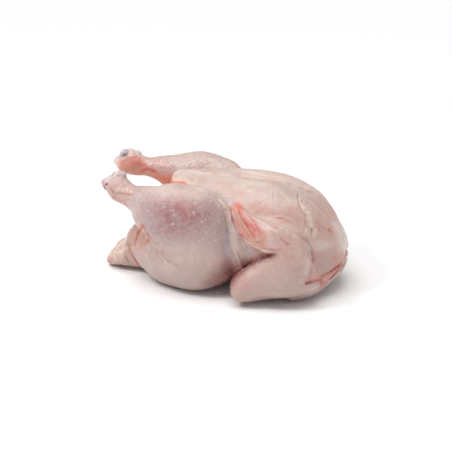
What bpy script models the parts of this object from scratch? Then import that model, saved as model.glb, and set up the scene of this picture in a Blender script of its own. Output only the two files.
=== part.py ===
"""A whole raw chicken, plucked and drawn, lying on its back as on a butcher's tray.

Frame: metres, +Z up, +X towards the neck end, +Y towards the bird's right side. The bird lies breast
up, so its keel runs along X at the top and its back rests on a flat at Z = 0. The origin is under the
middle of the whole bird. The bird is one solid: every muscle, bone end and fold of skin is shaped as a
form of its own, and the forms are then fused into one skin.

The forms are laid out from a working origin under the middle of the back. main() moves the finished
bird to its own origin.
"""

import math

import bmesh
import bpy
from mathutils import Vector

UP = Vector((0.0, 0.0, 1.0))

# Forms are given for the bird's left side, which faces -Y. The right side mirrors them.
LEFT = 1
RIGHT = -1
SIDES = (LEFT, RIGHT)

# Bone ends of the left wing
SHOULDER = Vector((0.098, -0.052, 0.028))
ELBOW = Vector((0.037, -0.076, 0.022))
WRIST = Vector((0.092, -0.074, 0.066))
WING_TIP = Vector((0.021, -0.051, 0.103))

# The right wing is folded a little closer, so its hand lies lower by this.
RIGHT_HAND_DROP = 0.006

# The trunk from the vent to the neck: x, half width, lowest z, highest z
TRUNK = [
    (-0.112, 0.010, 0.012, 0.032),
    (-0.100, 0.024, 0.006, 0.050),
    (-0.080, 0.034, 0.004, 0.072),
    (-0.055, 0.036, 0.003, 0.092),
    (-0.030, 0.038, 0.002, 0.102),
    (0.000, 0.044, 0.002, 0.106),
    (0.030, 0.055, 0.002, 0.106),
    (0.060, 0.063, 0.002, 0.102),
    (0.085, 0.061, 0.003, 0.095),
    (0.103, 0.052, 0.006, 0.085),
    (0.117, 0.041, 0.010, 0.075),
    (0.127, 0.030, 0.019, 0.065),
    (0.134, 0.016, 0.030, 0.056),
]
TRUNK_SQUARENESS = 0.78

# The back is pressed flat up to this height, which becomes Z = 0.
REST_HEIGHT = 0.0032

VOXEL = 0.0021
RING_SIDES = 32
TRIANGLES = 10800


def spline_rows(rows, count):
    """Rows of numbers at equal steps on a Catmull-Rom curve through the given rows."""
    before = [2 * a - b for a, b in zip(rows[0], rows[1])]
    after = [2 * a - b for a, b in zip(rows[-1], rows[-2])]
    rows = [before, *rows, after]
    spans = len(rows) - 3
    found = []
    for i in range(count):
        place = i * spans / (count - 1)
        k = min(int(place), spans - 1)
        t = place - k
        row = []
        for a, b, c, d in zip(*rows[k : k + 4]):
            bend = (2 * a - 5 * b + 4 * c - d) * t**2 + (3 * b - a - 3 * c + d) * t**3
            row.append(0.5 * (2 * b + (c - a) * t + bend))
        found.append(row)
    return found


def ring(centre, across, rise, wide, high, squareness=1.0):
    """Points of an oval round a centre. A squareness under 1 fills its corners out."""
    points = []
    for k in range(RING_SIDES):
        angle = 2 * math.pi * k / RING_SIDES
        c = math.cos(angle)
        s = math.sin(angle)
        x = wide * math.copysign(abs(c) ** squareness, c)
        y = high * math.copysign(abs(s) ** squareness, s)
        points.append(centre + across * x + rise * y)
    return points


def solid_from_rings(name, rings):
    """A closed mesh object through rings of points, each end closed by a fan."""
    bm = bmesh.new()
    loops = [[bm.verts.new(point) for point in points] for points in rings]
    n = len(loops[0])
    for a, b in zip(loops, loops[1:]):
        for i in range(n):
            j = (i + 1) % n
            bm.faces.new((a[i], a[j], b[j], b[i]))
    for loop in (loops[0], loops[-1]):
        middle = bm.verts.new(sum((v.co for v in loop), Vector()) / n)
        for i in range(n):
            bm.faces.new((loop[i], loop[(i + 1) % n], middle))
    bmesh.ops.recalc_face_normals(bm, faces=bm.faces)
    mesh = bpy.data.meshes.new(name)
    bm.to_mesh(mesh)
    bm.free()
    made = bpy.data.objects.new(name, mesh)
    bpy.context.scene.collection.objects.link(made)
    return made


def limb(name, stations, up=UP, count=40, cap_steps=4, cap_reach=0.9):
    """A rounded form along a curve. A station is its centre, half height along up, and half width."""
    rows = spline_rows([[*centre, high, wide] for centre, high, wide in stations], count)
    centres = [Vector(row[:3]) for row in rows]
    rings = []
    for i, row in enumerate(rows):
        along = (centres[min(i + 1, count - 1)] - centres[max(i - 1, 0)]).normalized()
        across = along.cross(up).normalized()
        rise = across.cross(along).normalized()
        high, wide = row[3], row[4]
        rings.append(ring(centres[i], across, rise, wide, high))
        if i in (0, count - 1):
            way = -1 if i == 0 else 1
            cap = []
            for k in range(1, cap_steps + 1):
                angle = k / (cap_steps + 0.5) * math.pi / 2
                reach = way * cap_reach * min(high, wide) * math.sin(angle)
                size = math.cos(angle)
                cap.append(ring(centres[i] + along * reach, across, rise, wide * size, high * size))
            if i == 0:
                rings = cap[::-1] + rings
            else:
                rings += cap
    return solid_from_rings(name, rings)


def on_side(stations, side, right_drop=0.0):
    """The stations of a left form, mirrored when the side is RIGHT and lowered there by right_drop."""
    drop = right_drop if side == RIGHT else 0.0
    return [(Vector((c.x, c.y * side, c.z - drop)), high, wide) for c, high, wide in stations]


def trunk():
    rings = []
    for x, wide, low, high in spline_rows([list(row) for row in TRUNK], 60):
        centre = Vector((x, 0.0, (low + high) / 2))
        across = Vector((0.0, 1.0, 0.0))
        rings.append(ring(centre, across, UP, wide, (high - low) / 2, TRUNK_SQUARENESS))
    return solid_from_rings("trunk", rings)


def breast(side):
    """One lobe of the breast, beside the keel."""
    stations = [
        (Vector((-0.045, -0.007, 0.108)), 0.011, 0.012),
        (Vector((-0.019, -0.012, 0.097)), 0.024, 0.023),
        (Vector((0.020, -0.018, 0.087)), 0.033, 0.034),
        (Vector((0.054, -0.019, 0.081)), 0.0355, 0.038),
        (Vector((0.080, -0.019, 0.072)), 0.0325, 0.034),
        (Vector((0.098, -0.015, 0.063)), 0.0260, 0.025),
    ]
    return limb("breast", on_side(stations, side))


def drumstick(side):
    """The calf muscle. The two legs lie a little differently."""
    left = [
        (Vector((-0.088, -0.050, 0.104)), 0.0115, 0.0110),
        (Vector((-0.077, -0.053, 0.100)), 0.0190, 0.0165),
        (Vector((-0.064, -0.056, 0.093)), 0.0290, 0.0230),
        (Vector((-0.044, -0.058, 0.089)), 0.0345, 0.0265),
        (Vector((-0.018, -0.056, 0.089)), 0.0325, 0.0260),
        (Vector((-0.002, -0.054, 0.084)), 0.0270, 0.0225),
    ]
    right = [
        (Vector((-0.094, 0.053, 0.104)), 0.0125, 0.0120),
        (Vector((-0.080, 0.055, 0.100)), 0.0195, 0.0175),
        (Vector((-0.064, 0.057, 0.096)), 0.0265, 0.0220),
        (Vector((-0.044, 0.058, 0.094)), 0.0305, 0.0250),
        (Vector((-0.018, 0.057, 0.090)), 0.0285, 0.0245),
        (Vector((-0.002, 0.054, 0.086)), 0.0230, 0.0210),
    ]
    return limb("drumstick", left if side == LEFT else right)


def shank(side):
    left = [
        (Vector((-0.110, -0.044, 0.1110)), 0.0135, 0.0125),
        (Vector((-0.102, -0.046, 0.1065)), 0.0140, 0.0128),
        (Vector((-0.092, -0.048, 0.1025)), 0.0132, 0.0118),
        (Vector((-0.078, -0.052, 0.0985)), 0.0155, 0.0135),
    ]
    right = [
        (Vector((-0.132, 0.050, 0.109)), 0.0150, 0.0130),
        (Vector((-0.120, 0.051, 0.1065)), 0.0140, 0.0125),
        (Vector((-0.104, 0.052, 0.1035)), 0.0115, 0.0108),
        (Vector((-0.088, 0.054, 0.102)), 0.0155, 0.0145),
    ]
    return limb("shank", left if side == LEFT else right, cap_reach=0.35)


def condyle(side, which):
    """One of the two smooth knobs of the hock joint, which stands out of the cut skin."""
    centres = {
        (LEFT, 0): Vector((-0.1160, -0.0475, 0.1135)),
        (LEFT, 1): Vector((-0.1065, -0.0385, 0.1195)),
        (RIGHT, 0): Vector((-0.1350, 0.0470, 0.1080)),
        (RIGHT, 1): Vector((-0.1230, 0.0530, 0.1170)),
    }
    centre = centres[(side, which)]
    half_length = Vector((0.0030, 0.0, -0.0015))
    stations = [(centre - half_length, 0.0062, 0.0068), (centre + half_length, 0.0068, 0.0076)]
    return limb("condyle", stations, count=8)


def thigh(side):
    stations = [
        (Vector((-0.078, -0.032, 0.040)), 0.026, 0.018),
        (Vector((-0.054, -0.042, 0.040)), 0.037, 0.024),
        (Vector((-0.026, -0.051, 0.049)), 0.045, 0.029),
        (Vector((-0.002, -0.052, 0.060)), 0.046, 0.026),
    ]
    return limb("thigh", on_side(stations, side))


def knee(side):
    """The full flesh over the knee, which runs on from drumstick to thigh without a groove."""
    stations = [
        (Vector((-0.040, -0.053, 0.066)), 0.026, 0.0235),
        (Vector((-0.020, -0.055, 0.068)), 0.036, 0.0262),
        (Vector((-0.002, -0.053, 0.070)), 0.036, 0.0245),
    ]
    return limb("knee", on_side(stations, side))


def upper_arm(side):
    stations = [
        (SHOULDER, 0.018, 0.018),
        (SHOULDER.lerp(ELBOW, 0.5), 0.016, 0.015),
        (ELBOW, 0.016, 0.014),
    ]
    return limb("upper_arm", on_side(stations, side))


def forearm(side):
    stations = [
        (ELBOW, 0.0165, 0.014),
        (ELBOW.lerp(WRIST, 0.5), 0.0165, 0.013),
        (WRIST, 0.0125, 0.010),
    ]
    return limb("forearm", on_side(stations, side), up=Vector((-0.64, 0, 0.77)))


def wing_web(side):
    """The skin stretched between the upper arm and the forearm."""
    stations = [
        (Vector((0.056, -0.078, 0.030)), 0.016, 0.011),
        (Vector((0.080, -0.074, 0.038)), 0.024, 0.0120),
        (Vector((0.094, -0.069, 0.046)), 0.026, 0.0105),
        (Vector((0.100, -0.066, 0.050)), 0.020, 0.0080),
    ]
    return limb("wing_web", on_side(stations, side))


def armpit(side):
    """Flesh that joins the folded wing to the breast, so that no gap goes through behind it."""
    stations = [
        (Vector((0.036, -0.050, 0.062)), 0.024, 0.012),
        (Vector((0.058, -0.056, 0.062)), 0.030, 0.014),
        (Vector((0.080, -0.056, 0.056)), 0.028, 0.014),
    ]
    return limb("armpit", on_side(stations, side))


def hand(side):
    """The wing's flat last joint, which lies along the side of the breast."""
    stations = [
        (WRIST, 0.0125, 0.0095),
        (Vector((0.073, -0.077, 0.0780)), 0.0145, 0.0080),
        (Vector((0.054, -0.072, 0.0800)), 0.0165, 0.0075),
        (Vector((0.041, -0.066, 0.0850)), 0.0155, 0.0065),
        (Vector((0.030, -0.059, 0.0930)), 0.0100, 0.0050),
        (WING_TIP, 0.0025, 0.0025),
    ]
    return limb("hand", on_side(stations, side, RIGHT_HAND_DROP), up=Vector((0, 0.37 * side, 0.93)))


def thumb(side):
    stations = [
        (Vector((0.092, -0.074, 0.077)), 0.0060, 0.0060),
        (Vector((0.082, -0.076, 0.086)), 0.0050, 0.0050),
        (Vector((0.074, -0.076, 0.091)), 0.0038, 0.0038),
    ]
    return limb("thumb", on_side(stations, side, RIGHT_HAND_DROP))


def tail():
    stations = [
        (Vector((-0.095, 0, 0.024)), 0.020, 0.024),
        (Vector((-0.110, 0, 0.022)), 0.0185, 0.023),
        (Vector((-0.120, 0, 0.018)), 0.0145, 0.021),
        (Vector((-0.128, 0, 0.012)), 0.0090, 0.0165),
        (Vector((-0.133, 0, 0.009)), 0.0060, 0.0110),
    ]
    return limb("tail", stations)


def vent_fold(side, outward):
    """A pleat of slack skin beside the vent, from the keel's end down to the tail."""
    step = Vector((0.0, -outward, 0.0))
    stations = [
        (Vector((-0.074, -0.030, 0.074)) + step, 0.0050, 0.0060),
        (Vector((-0.090, -0.028, 0.061)) + step, 0.0062, 0.0060),
        (Vector((-0.098, -0.025, 0.045)) + step * 0.8, 0.0070, 0.0060),
        (Vector((-0.096, -0.020, 0.030)) + step * 0.5, 0.0070, 0.0065),
    ]
    return limb("vent_fold", on_side(stations, side), up=Vector((-1, 0, 0.3)))


def keel_flap():
    """The cut edge of belly skin that hangs over the opening from the keel's end."""
    stations = [
        (Vector((-0.048, -0.036, 0.087)), 0.0050, 0.0085),
        (Vector((-0.047, -0.024, 0.100)), 0.0055, 0.0090),
        (Vector((-0.050, -0.009, 0.110)), 0.0075, 0.0090),
        (Vector((-0.050, 0.009, 0.110)), 0.0075, 0.0090),
        (Vector((-0.047, 0.024, 0.100)), 0.0055, 0.0090),
        (Vector((-0.048, 0.036, 0.087)), 0.0050, 0.0085),
    ]
    return limb("keel_flap", stations)


def flank_fold(side):
    """The web of skin that runs down from the breast between thigh and wing."""
    stations = [
        (Vector((0.010, -0.047, 0.100)), 0.0040, 0.0040),
        (Vector((0.020, -0.056, 0.082)), 0.0050, 0.0050),
        (Vector((0.025, -0.060, 0.062)), 0.0060, 0.0060),
        (Vector((0.030, -0.060, 0.042)), 0.0060, 0.0060),
        (Vector((0.036, -0.056, 0.026)), 0.0060, 0.0060),
    ]
    return limb("flank_fold", on_side(stations, side), up=Vector((1, 0, 0)))


def neck_lip(side):
    """The edge of the neck skin, which wraps the shoulders under the neck opening."""
    stations = [
        (Vector((0.084, -0.058, 0.011)), 0.0065, 0.0060),
        (Vector((0.100, -0.049, 0.012)), 0.0060, 0.0055),
        (Vector((0.113, -0.037, 0.018)), 0.0055, 0.0050),
        (Vector((0.122, -0.023, 0.025)), 0.0052, 0.0050),
        (Vector((0.127, -0.008, 0.031)), 0.0050, 0.0050),
        (Vector((0.127, 0.004, 0.032)), 0.0050, 0.0050),
    ]
    return limb("neck_lip", on_side(stations, side), count=60)


def neck_opening():
    """The hollow above the neck lip, where the neck was cut away."""
    stations = [
        (Vector((0.106, -0.050, 0.021)), 0.0020, 0.0040),
        (Vector((0.118, -0.038, 0.027)), 0.0026, 0.0055),
        (Vector((0.128, -0.021, 0.034)), 0.0036, 0.0090),
        (Vector((0.132, 0.000, 0.039)), 0.0040, 0.0110),
        (Vector((0.128, 0.021, 0.034)), 0.0036, 0.0090),
        (Vector((0.118, 0.038, 0.027)), 0.0026, 0.0055),
        (Vector((0.106, 0.050, 0.021)), 0.0020, 0.0040),
    ]
    return limb("neck_opening", stations, count=70)


def body_cavity():
    stations = [
        (Vector((-0.125, 0, 0.068)), 0.026, 0.016),
        (Vector((-0.085, 0, 0.063)), 0.028, 0.021),
        (Vector((-0.050, 0, 0.060)), 0.030, 0.024),
        (Vector((-0.010, 0, 0.058)), 0.024, 0.026),
        (Vector((0.010, 0, 0.056)), 0.014, 0.016),
    ]
    return limb("body_cavity", stations)


def applied(body):
    """The body with its modifiers made real."""
    graph = bpy.context.evaluated_depsgraph_get()
    mesh = bpy.data.meshes.new_from_object(body.evaluated_get(graph))
    body.modifiers.clear()
    body.data = mesh
    return body


def fused(name, forms, softening):
    """The forms joined under one skin. Softening is how many times their meeting lines are relaxed."""
    bm = bmesh.new()
    for form in forms:
        bm.from_mesh(form.data)
        bpy.data.objects.remove(form)
    mesh = bpy.data.meshes.new(name)
    bm.to_mesh(mesh)
    bm.free()
    body = bpy.data.objects.new(name, mesh)
    bpy.context.scene.collection.objects.link(body)
    skin = body.modifiers.new("skin", "REMESH")
    skin.mode = "VOXEL"
    skin.voxel_size = VOXEL
    relax = body.modifiers.new("relax", "SMOOTH")
    relax.factor = 0.5
    relax.iterations = softening
    return applied(body)


def hollowed(body, cutter):
    """The body with the cutter's form taken out of it."""
    cut = body.modifiers.new("hollow", "BOOLEAN")
    cut.operation = "DIFFERENCE"
    cut.solver = "EXACT"
    cut.object = cutter
    applied(body)
    bpy.data.objects.remove(cutter)
    return body


def both(*forms):
    """Each form made for the left side and for the right side."""
    return [form(side) for side in SIDES for form in forms]


def chicken():
    body = fused("body", [trunk(), *both(breast)], 10)
    legs = fused("legs", both(drumstick, thigh, knee), 12)
    body = fused("body", [body, legs, tail(), *both(shank, armpit)], 3)
    body = hollowed(body, body_cavity())
    pleats = [vent_fold(side, outward) for side in SIDES for outward in (-0.004, 0.007)]
    wings = fused("wings", both(upper_arm, forearm, wing_web), 6)
    body = fused("body", [body, wings, keel_flap(), *pleats, *both(hand, flank_fold, neck_lip)], 3)
    body = hollowed(body, neck_opening())
    knobs = [condyle(side, which) for side in SIDES for which in (0, 1)]
    return fused("chicken", [body, *knobs, *both(thumb)], 2)


def lightened(body):
    """The body with fewer triangles, and with its back pressed flat where it rests."""
    body.data.calc_loop_triangles()
    fewer = body.modifiers.new("fewer", "DECIMATE")
    fewer.ratio = TRIANGLES / len(body.data.loop_triangles)
    fewer.use_collapse_triangulate = True
    applied(body)
    for vertex in body.data.vertices:
        vertex.co.z = max(vertex.co.z, REST_HEIGHT)
    return body


def set_down(body):
    """Moves the mesh so that the origin lies under the middle of the bird."""
    xs = [vertex.co.x for vertex in body.data.vertices]
    ys = [vertex.co.y for vertex in body.data.vertices]
    shift = Vector(((min(xs) + max(xs)) / 2, (min(ys) + max(ys)) / 2, REST_HEIGHT))
    for vertex in body.data.vertices:
        vertex.co -= shift
    return shift


def skin_material():
    skin = bpy.data.materials.new("raw_skin")
    skin.use_nodes = True
    shader = skin.node_tree.nodes["Principled BSDF"]
    shader.inputs["Base Color"].default_value = (0.76, 0.57, 0.51, 1.0)
    shader.inputs["Roughness"].default_value = 0.42
    shader.inputs["Metallic"].default_value = 0.0
    return skin


def main():
    for old in list(bpy.data.objects):
        bpy.data.objects.remove(old)
    body = lightened(chicken())
    set_down(body)
    body.data.materials.append(skin_material())
    body.data.shade_smooth()


main()
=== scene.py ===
# %% [markdown]
# # A whole raw chicken, lying on its back
#
# This lesson dresses a plain solid of a plucked chicken so that it looks like real poultry: cool, moist
# and a little uneven. The solid already has every muscle in its place. What it lacks is what makes skin
# look like skin: creases where it folds, goose bumps where the feathers sat, stains of blood under it,
# yellow fat at the cut edges and grey cartilage at the joints. We make those with small sculpting
# strokes in code, and with materials that mix many thin layers of colour.
#
# The first cell loads the solid, which keeps its size and place.

# %% Load the solid
import math

import bmesh
import bpy
import numpy as np
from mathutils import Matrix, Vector, noise
from mathutils.bvhtree import BVHTree
from mathutils.kdtree import KDTree


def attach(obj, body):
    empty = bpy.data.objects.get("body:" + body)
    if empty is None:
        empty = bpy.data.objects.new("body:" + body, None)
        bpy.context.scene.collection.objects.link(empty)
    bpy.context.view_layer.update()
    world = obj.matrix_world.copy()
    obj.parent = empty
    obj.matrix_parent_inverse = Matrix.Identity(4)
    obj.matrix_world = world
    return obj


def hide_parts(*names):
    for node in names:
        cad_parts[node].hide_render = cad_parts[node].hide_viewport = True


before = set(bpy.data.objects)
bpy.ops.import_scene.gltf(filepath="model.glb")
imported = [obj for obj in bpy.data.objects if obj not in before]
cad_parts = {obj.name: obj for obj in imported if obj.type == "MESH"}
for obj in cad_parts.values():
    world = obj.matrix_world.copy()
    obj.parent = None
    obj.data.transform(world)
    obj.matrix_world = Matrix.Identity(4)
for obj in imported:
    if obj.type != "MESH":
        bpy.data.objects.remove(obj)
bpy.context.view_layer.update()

MM = 0.001
scene = bpy.context.scene
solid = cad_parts["chicken"]

# %% [markdown]
# ## The camera
#
# The picture that we follow is 452 pixels square. One pixel is 1.1 mm at the middle of the bird, and a
# long lens of 90 mm keeps the far leg nearly as large as the near one. We work out the distance from
# those numbers instead of guessing it. The camera looks down by 20 degrees, from 14 degrees towards the
# neck end.

# %% Place the camera
PHOTO_SIDE = 452
PIXEL = 1.1 * MM
LENS = 90.0
SENSOR = 36.0
CAMERA_TURN = math.radians(14.0)
CAMERA_RISE = math.radians(20.0)

# The pixel that shows the point on the table under the middle of the back
ANCHOR_PIXEL = (226, 277)
ANCHOR = Vector((4.75, 0.0, -3.2)) * MM

back = Vector((
    math.sin(CAMERA_TURN) * math.cos(CAMERA_RISE),
    -math.cos(CAMERA_TURN) * math.cos(CAMERA_RISE),
    math.sin(CAMERA_RISE),
))
right = Vector((math.cos(CAMERA_TURN), math.sin(CAMERA_TURN), 0.0))
up = back.cross(right)
camera_distance = PHOTO_SIDE * PIXEL * LENS / SENSOR
photo_middle = PHOTO_SIDE / 2
aim = ANCHOR + up * (ANCHOR_PIXEL[1] - photo_middle) * PIXEL

camera = bpy.data.objects.new("camera", bpy.data.cameras.new("camera"))
camera.data.lens = LENS
camera.data.sensor_width = SENSOR
camera.location = aim + back * camera_distance
camera.rotation_mode = "QUATERNION"
camera.rotation_quaternion = (-back).to_track_quat("-Z", "Y")
scene.collection.objects.link(camera)
scene.camera = camera
print("camera is", round(camera_distance, 3), "m away")

# %% [markdown]
# ## Floor and light
#
# Raw skin is judged by its soft highlights, so most of the light comes from nearly overhead. A sun lamp
# with a disc of fifty degrees does that: it lights the whole floor evenly, and its shadows are soft. A
# small panel on the left adds the wet glints, and a dim white sky fills the sides. The matt floor throws
# light back onto the underside, as a white table does.

# %% A wide pale floor
FLOOR_HALF = 20.0
FLOOR_COLOUR = (0.94, 0.94, 0.94, 1.0)
FLOOR_ROUGHNESS = 0.8
FLOOR_SHINE = 0.2


def link_mesh(name, bm):
    """Turns a finished bmesh into an object of the scene."""
    mesh = bpy.data.meshes.new(name)
    bm.to_mesh(mesh)
    bm.free()
    made = bpy.data.objects.new(name, mesh)
    scene.collection.objects.link(made)
    return made


def new_material(name):
    """A new material, its node tree and its shader."""
    made = bpy.data.materials.new(name)
    made.use_nodes = True
    return made, made.node_tree, made.node_tree.nodes["Principled BSDF"]


def set_sockets(tree, node, values):
    """Connects or sets a node's inputs, by their names."""
    for name, value in values.items():
        if isinstance(value, bpy.types.NodeSocket):
            tree.links.new(value, node.inputs[name])
        else:
            node.inputs[name].default_value = value


def make_floor():
    bm = bmesh.new()
    bmesh.ops.create_grid(bm, x_segments=1, y_segments=1, size=FLOOR_HALF)
    floor = link_mesh("floor", bm)
    paint, tree, shader = new_material("pale_floor")
    set_sockets(tree, shader, {
        "Base Color": FLOOR_COLOUR, "Roughness": FLOOR_ROUGHNESS, "Specular IOR Level": FLOOR_SHINE})
    floor.data.materials.append(paint)


make_floor()
print("floor is", 2 * FLOOR_HALF, "m wide")

# %% Sun, panel and sky
SUN_FROM = Vector((-0.10, -0.10, 0.99))
SUN_POWER = 1.75
SUN_DISC = math.radians(50.0)
PANEL_FROM = Vector((-0.6, -0.45, 0.9))
PANEL_POWER = 4.0
PANEL_SIDE = 0.25
SKY_POWER = 0.50
WHITE = (1.0, 1.0, 1.0, 1.0)


def add_node(tree, kind, sockets=None, **settings):
    """Adds a node with these settings, and connects or sets its inputs."""
    made = tree.nodes.new(kind)
    for name, value in settings.items():
        setattr(made, name, value)
    set_sockets(tree, made, sockets or {})
    return made


def add_lamp(name, kind, place, power):
    """A lamp that shines from a place towards the middle of the bird."""
    lamp = bpy.data.lights.new(name, kind)
    lamp.energy = power
    made = bpy.data.objects.new(name, lamp)
    made.location = place
    made.rotation_mode = "QUATERNION"
    made.rotation_quaternion = (-place).to_track_quat("-Z", "Y")
    scene.collection.objects.link(made)
    return made


add_lamp("overhead", "SUN", SUN_FROM, SUN_POWER).data.angle = SUN_DISC
add_lamp("panel", "AREA", PANEL_FROM, PANEL_POWER).data.size = PANEL_SIDE

sky = bpy.data.worlds.new("sky")
sky.use_nodes = True
tree = sky.node_tree
# The sky itself is seen as plain white, though it lights the bird with less than that
path = add_node(tree, "ShaderNodeLightPath")
power = add_node(tree, "ShaderNodeMapRange", {
    "Value": path.outputs["Is Camera Ray"], "To Min": SKY_POWER, "To Max": 1.0})
set_sockets(tree, tree.nodes["Background"], {"Color": WHITE, "Strength": power.outputs["Result"]})
scene.world = sky
scene.view_settings.view_transform = "Standard"

# %% [markdown]
# ## A fine skin over the solid
#
# The solid has about eleven thousand triangles, which is enough for its form but not for a wrinkle. We
# copy its mesh, subdivide it once, and remesh the copy with small even cells. A voxel remesh is the
# right tool here because it gives cells of one size everywhere, so that a stroke is as sharp on the
# wing as on the breast. A few rounds of smoothing take the facets out.

# %% Copy, remesh and smooth
SKIN_CELL = 1.72 * MM
SKIN_ROUNDS = 5
WELD_GAP = 1e-6


def welded_copy(source, name):
    """A copy of an object's mesh whose split corners are joined again."""
    bm = bmesh.new()
    bm.from_mesh(source.data)
    bmesh.ops.remove_doubles(bm, verts=bm.verts, dist=WELD_GAP)
    return link_mesh(name, bm)


def remeshed(piece, cell, rounds, subdivide=0):
    """Gives a piece even cells of one size, then smooths it."""
    if subdivide:
        finer = piece.modifiers.new("finer", "SUBSURF")
        finer.levels = subdivide
        finer.render_levels = subdivide
    even = piece.modifiers.new("even", "REMESH")
    even.mode = "VOXEL"
    even.voxel_size = cell
    calm = piece.modifiers.new("calm", "SMOOTH")
    calm.factor = 0.5
    calm.iterations = rounds
    graph = bpy.context.evaluated_depsgraph_get()
    mesh = bpy.data.meshes.new_from_object(piece.evaluated_get(graph))
    piece.modifiers.clear()
    piece.data = mesh
    return piece


skin = remeshed(welded_copy(solid, "chicken_skin"), SKIN_CELL, SKIN_ROUNDS, subdivide=1)
print("skin has", len(skin.data.vertices), "points")

# %% [markdown]
# ## Grab and pinch
#
# The solid gives each form its place, but its ends are rounder than those of the real bird. A grab brush
# moves all points round a place together, the middle ones most, as a thumb pushes soft clay. A pinch
# draws them towards the place: it makes room at the hocks for the cartilage, which is a piece of its own.

# %% Push a few forms into place
# Each grab: its middle, its radius and how far it moves, all in millimetres
GRABS = {
    "tail top": ((-117, 0, 34), 11, (1.5, 0, -6.5)),
    "tail end": ((-125, 0, 22), 9, (1.0, 0, -4.0)),
    "front": ((137, 0, 55), 26, (-3.0, 0, 0)),
    "left elbow": ((42, -82, 14), 14, (-3.5, -1.5, 0)),
    "right elbow": ((42, 82, 14), 14, (-3.5, 1.5, 0)),
}
# Each pinch: its middle, its radius and how strongly it draws in
PINCHES = {
    "left hock end": ((-112.0, -47.5, 110.0), 8.0, 0.45),
    "left hock top": ((-101.8, -38.5, 117.0), 7.5, 0.40),
    "right hock top": ((-119.0, 52.0, 116.0), 8.0, 0.25),
}
GRAB_FALLOFF = 1.5


def read_array(items, field, width):
    """A field of a mesh's points or directions, as rows of width numbers."""
    values = np.empty(len(items) * width)
    items.foreach_get(field, values)
    return values.reshape(-1, width)


def nearness(places, middle, radius):
    """How much a brush at the middle moves each place: 1 there, and less and less further off."""
    distance = np.linalg.norm(places - middle, axis=1)
    return np.exp(-GRAB_FALLOFF * (distance / radius) ** 2)[:, None]


def push_forms(piece):
    """Grabs and pinches a piece at the places above."""
    places = read_array(piece.data.vertices, "co", 3) / MM
    for middle, radius, shift in GRABS.values():
        places += nearness(places, np.array(middle), radius) * np.array(shift)
    for middle, radius, share in PINCHES.values():
        places += nearness(places, np.array(middle), radius) * (np.array(middle) - places) * share
    piece.data.vertices.foreach_set("co", (places * MM).ravel())
    piece.data.update()


push_forms(skin)
print("grabs:", len(GRABS), "pinches:", len(PINCHES))

# %% [markdown]
# ## Drawing on the skin
#
# A fold is easiest to place where we see it. So a stroke is given by pixels of the picture, and each
# pixel is sent along its line of sight until it meets the skin. A stroke on the left side of the bird is
# mirrored to the right side, which the camera doesn't see, and drops onto the nearest skin there.

# %% From pixels to places on the skin
STROKE_STEP = 0.8


def surface_tree(mesh):
    """A search tree that finds where a ray meets a mesh, or the mesh's nearest place."""
    corners = [Vector(p) for p in read_array(mesh.vertices, "co", 3)]
    return BVHTree.FromPolygons(corners, [f.vertices[:] for f in mesh.polygons])


skin_tree = surface_tree(skin.data)
pixel_slope = SENSOR / PHOTO_SIDE / LENS


def sight_line(x, y):
    """The direction in which the camera sees a pixel."""
    across = right * (x - photo_middle) * pixel_slope
    upward = up * (photo_middle - y) * pixel_slope
    return (across + upward - back).normalized()


def along_curve(corners, step):
    """Points at even steps on a smooth curve through the corners."""
    if len(corners) == 1:
        return list(corners)
    ends = [corners[0] * 2 - corners[1], corners[-1] * 2 - corners[-2]]
    walk = [ends[0], *corners, ends[1]]
    found = []
    for a, b, c, d in zip(walk, walk[1:], walk[2:], walk[3:]):
        parts = max(1, round((c - b).length / step))
        for k in range(parts):
            t = k / parts
            bend = (2 * a - 5 * b + 4 * c - d) * t**2 + (3 * b - a - 3 * c + d) * t**3
            found.append(0.5 * (2 * b + (c - a) * t + bend))
    found.append(corners[-1])
    return found


def seen(pixels):
    """A line on the skin under these pixels, as places with the direction that the skin faces."""
    line = []
    for spot in along_curve([Vector((x, y, 0.0)) for x, y in pixels], STROKE_STEP):
        place, normal, *rest = skin_tree.ray_cast(camera.location, sight_line(spot.x, spot.y))
        if place is not None:
            line.append((place, normal))
    return line


def mirrored(line):
    """The same line on the other side of the bird."""
    found = []
    for place, normal in line:
        other, turned, *rest = skin_tree.find_nearest(Vector((place.x, -place.y, place.z)))
        found.append((other, turned))
    return found


sample = seen([(246, 208), (258, 238)])
print("a stroke of", len(sample), "places, first at", [round(v / MM) for v in sample[0][0]])
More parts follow.
